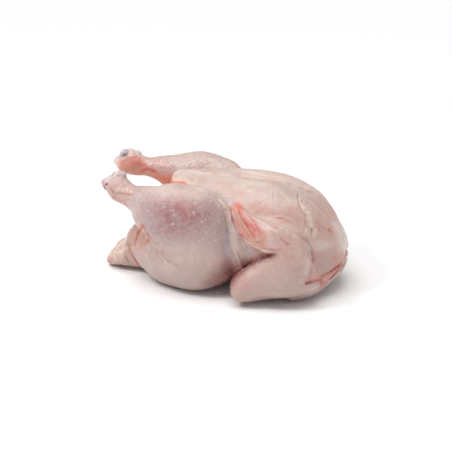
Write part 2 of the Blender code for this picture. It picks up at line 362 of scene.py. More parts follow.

# %% [markdown]
# ## Creases and folds
#
# A crease in skin is a narrow groove with soft shoulders: the skin that was pushed together has to go
# somewhere. A fold is the same form turned over. Each crease below has its depth and its width in
# millimetres, how much painted shade with a reddish tint darkens it, and then the pixels that it runs
# through. A fold has its height and its width, and gets no painted shade. The deep ones part the limbs
# from the body. The fine ones fan out where slack skin is gathered: behind the knee, at the wrist, and
# across the breast.

# %% Creases
# Every depth and height below is multiplied by this
CREASE_DEPTH = 1.35
CREASES = {
    "thigh against breast": (1.2, 1.8, 0.2, (186, 184), (197, 189), (208, 193.5), (217, 198), (222, 205),
        (225, 214), (228, 230), (231, 246), (236, 258), (240, 266)),
    "under drumstick": (0.9, 1.8, 0.3, (150, 237), (154, 241.5), (160, 245)),
    "calf edge": (0.5, 2.2, 0.2, (163, 231.5), (170, 232), (178, 229), (186, 228)),
    "knee wrinkle one": (1.0, 1.0, 0.25, (152, 246), (151.5, 254), (153.5, 262)),
    "knee wrinkle two": (1.0, 1.0, 0.25, (156, 249), (158.5, 256), (164, 263)),
    "knee wrinkle three": (1.1, 1.0, 0.3, (159.4, 250), (164, 257), (171, 262.5), (179, 266)),
    "knee wrinkle four": (0.9, 0.9, 0.25, (162.5, 250), (168, 255), (174, 258)),
    "knee wrinkle five": (0.9, 1.0, 0.25, (149, 251), (149.5, 257), (152, 263)),
    "vent pleat one": (1.4, 1.1, 1.0, (142.7, 227), (139, 232.5), (136.5, 238), (135.5, 242),
        (134.9, 247.5)),
    "vent pleat two": (1.2, 1.1, 0.9, (151, 238), (148.5, 239), (145.6, 243.5)),
    "drumstick overlap": (1.4, 1.3, 1.0, (142, 224), (145, 230), (148, 234.5), (151, 238)),
    "pleat three": (0.7, 0.9, 0.4, (149.5, 241), (151, 244), (150, 247)),
    "pleat four": (0.7, 0.9, 0.4, (153, 241), (155, 244), (154, 247)),
    "tail root": (1.6, 1.4, 1.0, (128.6, 248), (130.7, 254), (135.3, 260.3), (139.8, 267.3)),
    "tail dent": (1.0, 1.4, 0.2, (119, 247), (121, 250), (120, 255)),
    "tail dent two": (0.9, 1.3, 0.2, (114, 254), (118, 257), (120, 262)),
    "tail dent three": (0.9, 1.3, 0.2, (125, 249), (126, 256), (129, 262)),
    "keel groove": (0.6, 2.6, 0.0, (228, 170.5), (246, 172.5), (262, 175), (290, 179), (306, 184.5),
        (318, 190)),
    "keel small crease": (0.7, 1.0, 0.5, (188.5, 177), (193, 181)),
    "breast fold": (1.3, 1.4, 0.5, (298, 192), (298.8, 201.5), (300.8, 207), (303, 212), (307, 217)),
    "breast fold branch": (0.6, 1.0, 0.4, (300, 202.8), (303.8, 200)),
    "breast hook": (0.4, 1.0, 0.15, (304.6, 205.4), (309.2, 203.5), (312.5, 208)),
    "breast line far": (0.35, 1.0, 0.1, (312, 206), (318, 206.2), (323, 205.4)),
    "breast lobes": (0.8, 1.0, 0.5, (312, 229.5), (311.8, 233), (312.3, 238)),
    "breast slant": (0.5, 1.0, 0.2, (315.4, 221.5), (320.8, 226), (326, 229.5)),
    "breast scratch": (0.7, 0.9, 0.3, (260, 204), (268, 195.5)),
    "web edge": (1.0, 1.8, 0.15, (295, 233), (301.5, 237.7), (306.5, 241), (309.8, 245.6), (311.8, 250),
        (312.8, 256), (312.8, 263), (311.4, 270), (309, 277), (306.5, 283)),
    "wing over breast": (1.1, 1.2, 0.45, (242.9, 206.7), (249.5, 212.9), (259.7, 219), (267.3, 222.6),
        (273.5, 226.6), (277.6, 230.5)),
    "wrist fold": (1.0, 1.0, 0.7, (279.6, 236.8), (284.2, 241.9), (290, 245.5)),
    "forearm top": (0.5, 1.0, 0.2, (284, 228.3), (290, 229), (298, 231)),
    "hand outer edge": (1.2, 1.1, 0.8, (230.5, 206), (231.6, 215), (234, 225.6), (237, 232.5)),
    "hand groove one": (1.1, 1.0, 1.0, (237.2, 210), (241.8, 220.5), (246.9, 227.7), (250.5, 232.8),
        (254.5, 237.5)),
    "hand groove two": (0.5, 0.8, 0.5, (256, 242.3), (262, 242), (266, 242)),
    "hand groove three": (0.5, 0.8, 0.5, (250, 245), (258, 244.8), (265, 245)),
    "hand wrinkle one": (0.8, 0.9, 0.5, (238, 214), (241, 224), (246, 234), (252, 241)),
    "hand wrinkle two": (0.7, 0.9, 0.4, (235, 214), (237, 224), (241, 233), (247, 241)),
    "hand wrinkle three": (0.5, 0.8, 0.3, (246, 213), (252, 220), (259, 225)),
    "hand wrinkle four": (0.7, 0.8, 0.5, (246, 239.5), (254, 242), (263, 243)),
    "hand wrinkle seven": (0.6, 0.9, 0.3, (240, 209), (248, 216), (255, 225), (258, 233)),
    "hand wrinkle five": (0.5, 0.8, 0.3, (260, 232), (264, 236), (265, 240)),
    "hand wrinkle six": (0.5, 1.0, 0.1, (271, 230), (275, 237), (280, 244)),
    "hand web": (0.6, 0.9, 0.2, (246, 242), (252, 248), (258, 252)),
    "hand web two": (0.5, 0.9, 0.1, (243, 247), (247, 253), (250, 258)),
    "elbow fold": (0.6, 1.2, 0.1, (281, 251), (288, 255), (294, 257)),
    "elbow fold two": (0.6, 1.2, 0.15, (258, 262), (266, 258), (275, 256)),
    "hand lower rim": (0.8, 1.0, 0.5, (260.7, 247.8), (268.9, 249.3), (275.5, 250.6), (280, 249.6)),
    "valley": (1.8, 1.9, 1.0, (272, 255.5), (262, 257.5), (255.6, 262), (247, 267), (240.3, 271.5),
        (232, 277)),
    "shank fold one": (0.7, 0.9, 0.6, (116, 193.4), (124, 193.8), (131.6, 195)),
    "shank fold two": (0.6, 0.9, 0.4, (137.5, 190.5), (133.5, 194.5), (130, 199), (127, 201)),
    "shank fold three": (0.6, 1.0, 0.4, (111.5, 196), (119, 199), (127, 203)),
    "shank fold five": (0.6, 0.8, 0.3, (141, 189), (137, 195), (133, 202)),
    "shank fold six": (0.5, 0.8, 0.25, (145, 190), (141, 197), (138, 205)),
    "shank fold seven": (0.5, 0.8, 0.2, (149, 192), (145, 199), (142, 208)),
    "shank fold four": (0.7, 1.0, 0.7, (110.5, 187), (112.5, 191), (115.5, 195)),
    "neck slit": (1.4, 1.3, 0.9, (306.5, 283.4), (313, 281.8), (320.8, 279.6), (328.5, 277.4), (334, 274)),
    "neck side fold": (0.8, 1.1, 0.5, (333, 268), (339, 265.5), (343.4, 260), (344, 255)),
    "front fold": (0.6, 1.1, 0.2, (340.5, 228), (343, 238), (345, 248)),
}
print("creases:", len(CREASES))

# %% Folds
FOLDS = {
    "flank web": (0.9, 2.0, (221, 199), (229.6, 213), (230.5, 228), (231, 241), (234.5, 251), (238.3, 259),
        (242, 269)),
    "flank web two": (0.9, 1.3, (244.4, 244.5), (247, 250), (251, 255), (254.5, 259)),
    "keel ridge": (1.5, 2.2, (186, 170), (203, 173), (227.5, 176), (245, 178), (262, 180.3), (289, 184),
        (305.4, 190), (317, 194.6), (325.4, 198.5)),
    "keel end rim": (0.8, 1.6, (176, 171), (173.5, 176), (173, 181)),
    "breast line one": (0.8, 0.9, (261.6, 202.6), (268.6, 194.6)),
    "breast line two": (0.7, 0.9, (271.6, 184), (272, 199)),
    "breast fat band": (0.6, 3.2, (303, 206), (308, 212), (311, 219), (312, 227)),
    "breast fat lump one": (0.5, 1.9, (304.4, 207.6), (306, 209.6)),
    "breast fat lump two": (0.7, 2.2, (308.4, 212.4), (310.6, 215)),
    "breast fat lump three": (0.5, 1.9, (311.2, 219), (311.8, 221)),
    "breast fat lump four": (0.5, 1.8, (312, 225), (312.4, 227)),
    "breast fat lobe left": (0.8, 2.8, (306.8, 231), (307.2, 238)),
    "breast fat lobe right": (0.8, 2.6, (315.8, 230), (316, 237)),
    "breast gather one": (0.5, 1.1, (303, 199), (308, 204), (312, 211)),
    "breast gather two": (0.5, 1.1, (316, 226), (318, 233), (322, 238)),
    "breast gather three": (0.5, 1.2, (303, 214), (304, 222), (303, 230)),
    "breast wrinkle": (0.7, 1.5, (318, 212), (324, 216), (330, 222)),
    "breast wrinkle two": (0.7, 1.5, (319, 236), (325, 239), (331, 246)),
    "breast roll": (0.6, 1.8, (276, 217), (283, 217.5), (290, 221), (296, 225)),
    "thumb knob": (1.1, 1.6, (280.2, 228.6), (282.6, 231)),
    "hand ridge": (0.6, 1.7, (242.9, 209.5), (252.6, 217.8), (263.8, 223.6), (269, 229), (270, 237)),
    "hand rim": (0.3, 1.4, (234.5, 206), (234.6, 215), (238, 228), (243, 238), (251, 245.5), (262, 249.5)),
    "hand lower lobe": (0.9, 1.7, (263, 251), (269, 252.6)),
    "wing bone": (0.6, 1.6, (272, 229), (276, 234), (284, 243)),
    "neck skin edge": (0.5, 1.3, (311, 287.5), (319, 285), (326, 281.5), (334, 277)),
    "shank tendon": (0.6, 1.6, (117, 190.6), (124, 190.4), (131, 190.6)),
    "shank flap": (0.8, 1.4, (112, 197.6), (120, 202), (128, 205)),
    "vent roll": (0.9, 1.7, (138.5, 229), (134.5, 235), (132, 243), (131.5, 250)),
    "vent roll two": (0.9, 2.1, (144, 232), (142, 239), (140, 247)),
    "knee ridge one": (0.9, 1.0, (154, 247), (154.3, 255), (157.5, 262)),
    "knee ridge two": (0.9, 1.0, (161, 250), (166, 257), (173, 261.5)),
    "pleat bump one": (0.7, 1.0, (149, 243), (148.6, 245)),
    "pleat bump two": (0.7, 1.0, (152, 242.4), (152, 245)),
    "tail top lump": (2.2, 3.6, (122, 243), (127, 244)),
    "tail side lump": (1.6, 2.6, (117, 249)),
    "tail middle lump": (1.4, 2.6, (121, 254), (124, 257)),
    "tail end lump": (1.4, 2.4, (111, 257), (109.5, 260)),
    "tail under lump": (1.4, 2.2, (116, 263), (118, 264)),
}
print("folds:", len(FOLDS))

# %% Strokes on both sides of the bird
# The keel is in the middle, and the two breasts are folded in different ways
LEFT_ONLY = ("breast", "keel", "front", "neck")
KEEL_HALF = 34 * MM


def sides_of(name, pixels):
    """The stroke's line, and its mirror image unless the stroke is on the left side only."""
    line = seen(pixels)
    if name.startswith("keel"):
        line = [(place, normal) for place, normal in line if abs(place.y) < KEEL_HALF]
    return [line] if name.startswith(LEFT_ONLY) else [line, mirrored(line)]


strokes = []
for name, (depth, width, shade, *pixels) in CREASES.items():
    strokes += [(line, depth * CREASE_DEPTH, width, shade) for line in sides_of(name, pixels)]
for name, (lift, width, *pixels) in FOLDS.items():
    strokes += [(line, -lift * CREASE_DEPTH, width, 0.0) for line in sides_of(name, pixels)]
print("strokes:", len(strokes), "with", sum(len(s[0]) for s in strokes), "places")

# %% [markdown]
# ## Finer cells under the strokes
#
# A wrinkle one millimetre wide can't show in cells of nearly two. Making the whole skin finer would cost
# about half a million triangles, so only the cells near a stroke are divided once. The rest stay coarse.

# %% Divide the cells near a stroke
REFINE_REACH = 1.15


def refine_near(piece, lines):
    """Divides the cells whose middle lies near one of the lines, then evens them out."""
    bm = bmesh.new()
    bm.from_mesh(piece.data)
    bm.faces.ensure_lookup_table()
    middles = KDTree(len(bm.faces))
    for face in bm.faces:
        middles.insert(face.calc_center_median(), face.index)
    middles.balance()
    chosen = set()
    for line, _, width, _ in lines:
        for place, _ in line:
            found = middles.find_range(place, REFINE_REACH * width * MM)
            chosen.update(index for _, index, _ in found)
    edges = {edge for index in chosen for edge in bm.faces[index].edges}
    bmesh.ops.subdivide_edges(bm, edges=list(edges), cuts=1, use_grid_fill=True)
    bmesh.ops.triangulate(bm, faces=[f for f in bm.faces if len(f.verts) > 4])
    bm.to_mesh(piece.data)
    bm.free()
    return len(chosen)


print("cells divided:", refine_near(skin, strokes))
print("skin triangles:", sum(len(f.vertices) - 2 for f in skin.data.polygons))

# %% [markdown]
# ## Reading the skin as arrays
#
# Sculpting by hand means pushing single points with a brush. In code it is quicker to hold all points in
# one array, work out how far each one should rise, and write them back once.

# %% Points, directions and neighbours
points = read_array(skin.data.vertices, "co", 3)
links = np.empty(len(skin.data.edges) * 2, int)
skin.data.edges.foreach_get("vertices", links)
links = links.reshape(-1, 2)
count = len(points)
neighbours = np.bincount(links.ravel(), minlength=count)


def neighbour_mean(values):
    """Each point's mean over the points that it shares an edge with."""
    values = values.reshape(count, -1)
    total = np.empty_like(values)
    for column in range(values.shape[1]):
        ahead = np.bincount(links[:, 0], weights=values[links[:, 1], column], minlength=count)
        behind = np.bincount(links[:, 1], weights=values[links[:, 0], column], minlength=count)
        total[:, column] = (ahead + behind) / neighbours
    return total


facing = read_array(skin.data.vertex_normals, "vector", 3)
point_tree = KDTree(count)
for index, point in enumerate(points):
    point_tree.insert(point, index)
point_tree.balance()
print("each point has about", round(neighbours.mean(), 2), "neighbours")

# %% How far each point is from a line


def near_line(line, radius):
    """The points within radius of a line that face its way, their distances and shares along it."""
    nearest = {}
    for step, (place, normal) in enumerate(line):
        for spot, index, distance in point_tree.find_range(place, radius):
            if distance < nearest.get(index, (radius, 0))[0] and normal.dot(facing[index]) > 0.0:
                nearest[index] = (distance, step)
    found = np.array(list(nearest.values()), float).reshape(-1, 2)
    # The share is counted from the middle of a step
    share = (found[:, 1] + 0.5) / max(len(line), 1)
    return np.array(list(nearest), int), found[:, 0], share


# %% [markdown]
# ## Pressing the strokes in
#
# Both kinds of stroke are one bell curve for the line itself and a wide, shallow one for the shoulders.
# We add them up in one array called rise, in metres, and mark the grooves in a mask, which paints
# shade and a reddish tint into them.

# %% Press
MASKS = ("groove", "deep", "blood", "orange", "flesh", "ruddy", "purple", "lilac", "fat", "vein", "flush",
         "follicle", "goose", "pale", "shade", "cavity")
# The bell of a stroke and its shoulders, in widths of the stroke
SHOULDER_REACH = 2.6
SHOULDER_PLACE = 1.45
SHOULDER_HEIGHT = 0.3
SHOULDER_FALLOFF = 3.0
BELL_FALLOFF = 1.6
# A stroke of more steps than this fades at its ends, and every stroke ripples along its length
FADE_LENGTH = 12
FADE_LEAST = 0.25
FADE_SLOPE = 5
RIPPLE = 0.2
RIPPLE_TURN = 0.45

rise = np.zeros(count)
masks = {name: np.zeros(count) for name in MASKS}


def press(line, depth, width, shade):
    """Lowers a line into the skin, or raises it where depth is negative. Sizes are in millimetres."""
    chosen, distance, share = near_line(line, width * SHOULDER_REACH * MM)
    away = distance / (width * MM)
    fade = 1 - RIPPLE + RIPPLE * np.sin(share * len(line) * RIPPLE_TURN)
    if len(line) > FADE_LENGTH:
        fade = np.clip(FADE_LEAST + FADE_SLOPE * np.minimum(share, 1 - share), 0, 1) * fade
    bell = np.exp(-(away ** 2) * BELL_FALLOFF) * fade
    side = np.exp(-((away - SHOULDER_PLACE) ** 2) * SHOULDER_FALLOFF) * fade * SHOULDER_HEIGHT
    rise[chosen] -= (bell - side) * depth * MM
    # The groove mask paints shade, with a reddish tint, into the crease
    masks["groove"][chosen] = np.maximum(masks["groove"][chosen], bell * shade)


for line, depth, width, shade in strokes:
    press(line, depth, width, shade)
print("deepest", round(-rise.min() / MM, 1), "mm, highest", round(rise.max() / MM, 1), "mm")

# %% [markdown]
# ## Regions of the bird
#
# Many effects belong to a whole limb. A region is the space within a given distance of a bone, with a
# soft edge. The places are in millimetres, for the left side. The right leg points a little further out
# at the tail end than the left one, so it has places of its own.

# %% Soft regions round the bones
LEG_BONES = (
    [(-105, -44, 108), (-87, -48, 99), (-72, -53, 97), (-39, -58, 86), (3, -54, 81)],
    [(-127, 50, 106), (-99, 52, 100), (-75, 54, 97), (-39, 58, 91), (3, 54, 83)],
)
THIGH_BONE = [(-60, -40, 34), (-20, -50, 45), (8, -52, 60)]
UPPER_ARM = [(103, -52, 25), (42, -76, 19)]
FOREARM = [(42, -76, 19), (97, -74, 63)]
HAND = [(97, -74, 63), (60, -72, 77), (26, -51, 100)]
TAIL_BONE = [(-98, 0, 20), (-130, 0, 6)]
CAVITY_LINE = [(-92, 0, 61), (-60, 0, 58), (-5, 0, 54), (14, 0, 52)]


def distance_to(bone):
    """How far each point is from a chain of straight bones, in millimetres."""
    nearest = np.full(count, np.inf)
    places = points / MM
    for a, b in zip(bone, bone[1:]):
        a, b = np.array(a, float), np.array(b, float)
        share = np.clip(((places - a) @ (b - a)) / ((b - a) @ (b - a)), 0, 1)
        nearest = np.minimum(nearest, np.linalg.norm(places - a - share[:, None] * (b - a), axis=1))
    return nearest


def eased(share):
    """A ramp from 0 to 1 with soft ends."""
    share = np.clip(share, 0, 1)
    return share * share * (3 - 2 * share)


def within(bone, radius, softness):
    """A region round a bone: 1 inside, 0 outside, with an edge as wide as softness."""
    return eased((radius + softness - distance_to(bone)) / softness)


def both_bones(bone, radius, softness):
    """The region round a bone and round its mirror image."""
    twin = [(x, -y, z) for x, y, z in bone]
    return np.maximum(within(bone, radius, softness), within(twin, radius, softness))


legs = np.maximum(*(within(bone[1:], 27, 10) for bone in LEG_BONES))
shanks = np.maximum(*(within(bone[:2], 13, 8) for bone in LEG_BONES))
thighs = both_bones(THIGH_BONE, 30, 14)
arms = np.maximum(both_bones(UPPER_ARM, 20, 8), both_bones(FOREARM, 17, 8))
hands = both_bones(HAND, 15, 6)
tail = within(TAIL_BONE, 19, 7)
height = points[:, 2] / MM
along = points[:, 0] / MM
print("leg points:", int(legs.sum()), "wing points:", int((arms + hands).sum()))

# %% [markdown]
# ## Patches
#
# A stain that fills an area is easier to give by its outline in the picture. Every point of the skin is
# projected into the picture, and a patch covers the points inside the outline, with a soft edge. Points
# on the right side are projected through their mirror image, so both sides get the patch. A region goes
# with each patch, because a pixel may show two limbs one behind the other.

# %% Points as the camera sees them
TURN_SOFTNESS = 0.2
camera_place = np.array(camera.location)


def picture_places(places, normals):
    """Where places show in the picture, in pixels, and how much their skin faces the camera."""
    offset = places - camera_place
    depth = -(offset @ np.array(back))
    x = photo_middle + (offset @ np.array(right)) / depth / pixel_slope
    y = photo_middle - (offset @ np.array(up)) / depth / pixel_slope
    turned = -(offset * normals).sum(axis=1) / np.linalg.norm(offset, axis=1)
    return np.stack([x, y], axis=1), turned


near_side = np.where(points[:, 1:2] > 0, np.array([1.0, -1.0, 1.0]), 1.0)
own_pixels, own_turn = picture_places(points, facing)
twin_pixels, twin_turn = picture_places(points * near_side, facing * near_side)


def patch(outline, softness, own=False):
    """A soft mask of the points that show inside an outline. Own leaves the mirror image out."""
    pixels, turn = (own_pixels, own_turn) if own else (twin_pixels, twin_turn)
    corners = np.array(outline, float)
    edge = np.full(count, np.inf)
    inside = np.zeros(count, bool)
    for a, b in zip(corners, np.roll(corners, -1, axis=0)):
        share = np.clip(((pixels - a) @ (b - a)) / ((b - a) @ (b - a)), 0, 1)
        edge = np.minimum(edge, np.linalg.norm(pixels - a - share[:, None] * (b - a), axis=1))
        crosses = (a[1] > pixels[:, 1]) != (b[1] > pixels[:, 1])
        if a[1] != b[1]:
            meet = a[0] + (pixels[:, 1] - a[1]) / (b[1] - a[1]) * (b[0] - a[0])
            inside ^= crosses & (pixels[:, 0] < meet)
    signed = np.where(inside, edge, -edge)
    return eased(signed / softness * 0.5 + 0.5) * eased(turn / TURN_SOFTNESS + 0.5)


print("pixels of the skin run from", own_pixels.min(axis=0).round(), "to", own_pixels.max(axis=0).round())

# %% [markdown]
# ## Slack skin
#
# Skin isn't taut over a plucked bird. It rolls gently, with waves as long as a finger is wide, and has
# finer puckers where it is loose. Smooth noise gives both. The breast is the tightest place, so it gets
# the least.

# %% Rolling and puckering
NOISE_SHIFT = Vector((17.0, 31.0, 47.0))
LONG_RISE = 0.7
SHORT_RISE = 0.60
PUCKER_RISE = 0.34


def wander(size, seed):
    """Smooth noise over the skin, from -1 to 1, whose waves are about size millimetres long."""
    shift = NOISE_SHIFT * seed
    scale = 1.0 / (size * MM)
    return np.array([noise.noise(Vector(p) * scale + shift) for p in points])


slack = 0.4 + 0.25 * legs + 0.30 * thighs + 0.4 * arms + 0.7 * tail + 0.6 * shanks
long_waves = wander(26, 1)
rise += long_waves * LONG_RISE * MM
rise += wander(9, 2) * slack * SHORT_RISE * MM
rise += wander(4.6, 3) * slack * PUCKER_RISE * MM
print("waves add up to", round(float(np.abs(long_waves).max()) * LONG_RISE, 2), "mm")

# %% [markdown]
# ## Goose bumps
#
# Every feather leaves a small raised follicle. They stand in loose rows with a few millimetres between
# them, thick on the drumsticks and thin on the breast. We pick them one by one from the skin's points in
# a fixed random order, pass over half of them, and refuse any that is too close to one already chosen.
# This keeps them even, as in nature, without a grid.

# %% Choose the follicles
FOLLICLE_GAP = 4.0
FOLLICLE_SEED = 8
PASSED_OVER = 0.5
# The low skin of the back has some bumps too, which fade out between these heights
BACK_TOP = 60
BACK_FADE = 30
LEAST_GOOSE = 0.10

goose = np.clip(legs + 0.25 * thighs + 0.3 * arms + 0.25 * hands + 0.4 * tail, 0, 1)
goose = np.maximum(goose, 0.25 * np.clip((BACK_TOP - height) / BACK_FADE, 0, 1))
goose *= 1 - 0.8 * within(CAVITY_LINE, 24, 6)
goose = np.maximum(goose, LEAST_GOOSE)
masks["goose"] = goose


def cell_of(place, size):
    """The cell of an even grid that a place falls in."""
    return tuple(int(math.floor(v / size)) for v in place)


def is_free(place, taken, gap):
    """True where no chosen place is nearer than gap."""
    a, b, c = cell_of(place, gap)
    for i in (a - 1, a, a + 1):
        for j in (b - 1, b, b + 1):
            for k in (c - 1, c, c + 1):
                for other in taken.get((i, j, k), ()):
                    if np.sum((other - place) ** 2) < gap * gap:
                        return False
    return True


def spaced_points(gap, seed):
    """Points of the skin in a fixed random order, none nearer than gap to another."""
    draw = np.random.default_rng(seed)
    taken = {}
    chosen = []
    for index in draw.permutation(count):
        if draw.random() < PASSED_OVER or not is_free(points[index], taken, gap):
            continue
        taken.setdefault(cell_of(points[index], gap), []).append(points[index])
        chosen.append((index, draw.random()))
    return chosen


follicles = spaced_points(FOLLICLE_GAP * MM, FOLLICLE_SEED)
print("follicles:", len(follicles))

# %% Raise them
FOLLICLE_RADIUS = 1.15
FOLLICLE_REACH = 2.2
FOLLICLE_RISE = 0.32
FAINTEST = 0.08


def bump_strength(chance):
    """Most bumps are faint, and a few are strong."""
    return 0.12 + 0.88 * chance ** 6


for index, chance in follicles:
    strength = bump_strength(chance) * goose[index]
    if strength < FAINTEST:
        continue
    for _, near, distance in point_tree.find_range(points[index], FOLLICLE_REACH * FOLLICLE_RADIUS * MM):
        bell = math.exp(-((distance / (FOLLICLE_RADIUS * MM)) ** 2)) * strength
        masks["follicle"][near] = max(masks["follicle"][near], bell)
rise += masks["follicle"] * FOLLICLE_RISE * MM
print("highest follicle mask", round(float(masks["follicle"].max()), 2))

# %% [markdown]
# ## Stains under the skin, and painted light and shade
#
# What makes raw poultry look real is its colour map: lilac dark meat showing through the leg, red where
# blood settled, orange at the cut edges, cream where fat lies under the skin. Whole limbs come from the
# regions, areas from the patches, and small spots from lines as thin as a brush. Some marks here are
# painted light and shade instead: shade on the low skin that faces down, dark red shade in the valley
# under the wing and on the flank, a painted highlight on the drumstick, and painted light on the far
# breast and the front edge.

# %% Stains of whole limbs, and painted shade on the low skin
# The box that holds the cavity, and how far its wall is from the cavity's middle line
CAVITY_START = -86
CAVITY_END = 26
CAVITY_LOW = 20
CAVITY_HIGH = 96
CAVITY_HALF = 30 * MM
CAVITY_WALL = 33
CAVITY_ROUNDS = 4
TURN_GAIN = 2.0
# Skin that faces down is painted darker below this height, as painted shade
LOW_EDGE = 75


def toward(bone):
    """Each point's direction to the nearest place on a chain of bones that lies in the XZ plane."""
    corners = np.array(bone, float) * MM
    reach = np.clip(points[:, 0], corners[:, 0].min(), corners[:, 0].max())
    middle = np.stack([reach, np.zeros(count), np.interp(reach, corners[:, 0], corners[:, 2])], axis=1)
    offset = middle - points
    return offset / np.maximum(np.linalg.norm(offset, axis=1)[:, None], MM)


turned_in = np.clip((toward(CAVITY_LINE) * facing).sum(axis=1) * TURN_GAIN, 0, 1)
inner = (along > CAVITY_START) & (along < CAVITY_END) & (np.abs(points[:, 1]) < CAVITY_HALF)
inner &= (height > CAVITY_LOW) & (height < CAVITY_HIGH)
masks["cavity"] = within(CAVITY_LINE, CAVITY_WALL, 3) * turned_in * inner
for _ in range(CAVITY_ROUNDS):
    masks["cavity"] = 0.5 * masks["cavity"] + 0.5 * neighbour_mean(masks["cavity"])[:, 0]
# The near leg is the more lilac one
leg_lilac = np.where(points[:, 1] < 0, 0.5, 0.2) * legs
masks["lilac"] = np.clip(leg_lilac + 0.1 * thighs, 0, 1) * (1 - 0.6 * shanks)
masks["flush"] = np.clip(0.25 * arms + 0.3 * hands + 0.4 * shanks + 0.45 * tail, 0, 1)
masks["fat"] = 0.12 * tail
# Painted shade: the low skin that faces down is painted darker
masks["shade"] = np.clip(1 - facing[:, 2], 0, 1) * np.clip(1 - height / LOW_EDGE, 0, 1)
print("cavity points:", int((masks["cavity"] > 0.5).sum()))

# %% Stains, painted light and painted shade with an outline
# Each patch: its mask, its strength, its region, the softness of its edge and its outline. The region
# 1.0 is the whole bird.
PATCHES = (
    ("purple", 0.75, legs, 20, (150, 206), (158, 198), (178, 195), (200, 200), (216, 214), (212, 226),
        (192, 233), (172, 236), (156, 231)),
    ("purple", 0.5, legs, 16, (172, 206), (184, 201), (198, 206), (200, 217), (188, 223), (174, 219)),
    # Painted highlight on the top of the drumstick
    ("pale", 0.5, legs, 6, (146, 189), (154, 184), (170, 183), (174, 189), (164, 193), (150, 194)),
    ("lilac", 0.9, legs, 5, (139, 203), (150, 198), (153, 214), (158, 226), (163, 238), (152, 239),
        (143, 222)),
    ("lilac", 0.6, legs, 5, (148, 187), (166, 184), (182, 187), (176, 196), (158, 197), (148, 195)),
    ("lilac", 0.5, thighs, 6, (213, 222), (225, 218), (229, 236), (232, 254), (226, 264), (219, 252),
        (214, 236)),
    ("flesh", 0.8, hands, 5, (233, 204), (240, 204), (246, 211), (254, 219), (262, 226), (267, 232),
        (267, 243), (262, 248), (250, 244), (242, 237), (236, 224)),
    ("orange", 0.2, hands, 4, (233, 212), (238, 212), (244, 226), (252, 238), (246, 240), (237, 230)),
    ("orange", 0.75, hands, 3, (234, 203), (240, 203.5), (243, 209), (240, 213), (235, 211)),
    ("blood", 0.7, hands, 4.5, (243, 219), (248, 221), (255, 224), (259, 229), (261, 234), (255, 233),
        (248, 229)),
    ("pale", 0.3, hands, 2.5, (243, 207.5), (254, 215), (266, 222.5), (273, 228), (270, 236), (264, 229),
        (252, 220)),
    ("lilac", 0.3, hands, 6, (268, 228), (276, 232), (284, 243), (280, 247), (272, 244)),
    ("pale", 0.4, hands, 2.5, (258, 248.5), (270, 250), (274, 253), (264, 253)),
    ("flesh", 0.55, 1.0, 4, (141, 226), (148, 233), (152, 240), (146, 249), (138, 253), (131, 250),
        (130, 240), (134, 230)),
    ("flesh", 0.5, 1.0, 4, (142, 231), (148, 235), (147, 244), (141, 249), (138, 243)),
    ("fat", 0.6, tail, 4, (111, 254), (118, 243), (126, 238), (130, 246), (124, 253), (116, 258)),
    ("flesh", 0.15, tail, 6, (112, 258), (122, 252), (130, 250), (136, 262), (128, 268), (114, 266)),
    ("pale", 0.75, tail, 4, (110, 256), (117, 244), (126, 238), (132, 247), (130, 256), (122, 263),
        (112, 261)),
    ("flush", 0.9, tail, 4, (123, 257), (131, 254), (138, 265), (130, 268), (123, 265)),
    ("flush", 0.7, arms, 4, (306, 246), (312, 250), (313, 262), (308, 277), (303, 270), (306, 258)),
    # Partly painted shade in the hollow beside the neck, partly its pink and brown colour
    ("flush", 0.9, 1.0, 7, (311, 252), (330, 250), (336, 260), (328, 273), (310, 279), (312, 264)),
    ("lilac", 0.3, 1.0, 10, (314, 256), (330, 254), (332, 262), (326, 270), (314, 274)),
    ("pale", 0.35, 1.0, 5, (309, 243), (324, 238), (334, 244), (326, 250), (313, 250)),
    ("flush", 0.8, 1.0, 6, (324, 214), (332, 217), (341, 234), (346, 250), (340, 262), (331, 256),
        (332, 244), (326, 228)),
    ("flesh", 0.6, 1.0, 4, (331, 258), (343, 250), (346, 258), (342, 266), (333, 270)),
    ("pale", 0.55, 1.0, 5, (198, 188), (210, 190), (224, 197), (234, 206), (233, 222), (236, 240),
        (244, 258), (240, 262), (233, 250), (229, 230), (226, 214), (216, 201)),
    # Painted shade, dark red, on the flank under the wing
    ("deep", 0.6, 1.0, 9, (204, 284), (214, 273), (226, 263), (240, 262), (247, 268), (231, 282),
        (214, 290)),
    ("flush", 0.35, 1.0, 10, (300, 205), (318, 200), (334, 212), (344, 232), (348, 252), (330, 250),
        (312, 246), (306, 226)),
    # Painted light on the front edge of the breast
    ("pale", 0.9, 1.0, 6, (335, 222), (344, 234), (350, 250), (348, 264), (341, 258), (337, 240)),
    ("blood", 0.55, 1.0, 5, (217, 284), (228, 270), (240, 264), (256, 256), (270, 253), (274, 256),
        (262, 258), (246, 268), (234, 278), (226, 287)),
    # Painted shade, dark red, in the valley between the wing and the body
    ("deep", 0.95, 1.0, 6, (219, 286), (228, 275), (240, 268), (254, 260), (268, 254), (275, 255),
        (262, 261), (248, 269), (238, 278), (230, 288)),
    ("flesh", 0.35, tail, 5, (104, 262), (110, 254), (120, 256), (126, 262), (124, 268), (110, 266)),
    ("flush", 0.6, 1.0, 6, (300, 226), (312, 226), (318, 240), (310, 244), (300, 240)),
    ("flush", 0.8, 1.0, 7, (205, 285), (212, 268), (222, 255), (232, 258), (240, 264), (230, 276),
        (218, 287)),
)


def strengthen(mask, values):
    """Raises a mask to these values where they are higher."""
    masks[mask] = np.maximum(masks[mask], values)


for mask, strength, region, softness, *outline in PATCHES:
    strengthen(mask, patch(outline, softness) * region * strength)
print("patches:", len(PATCHES))
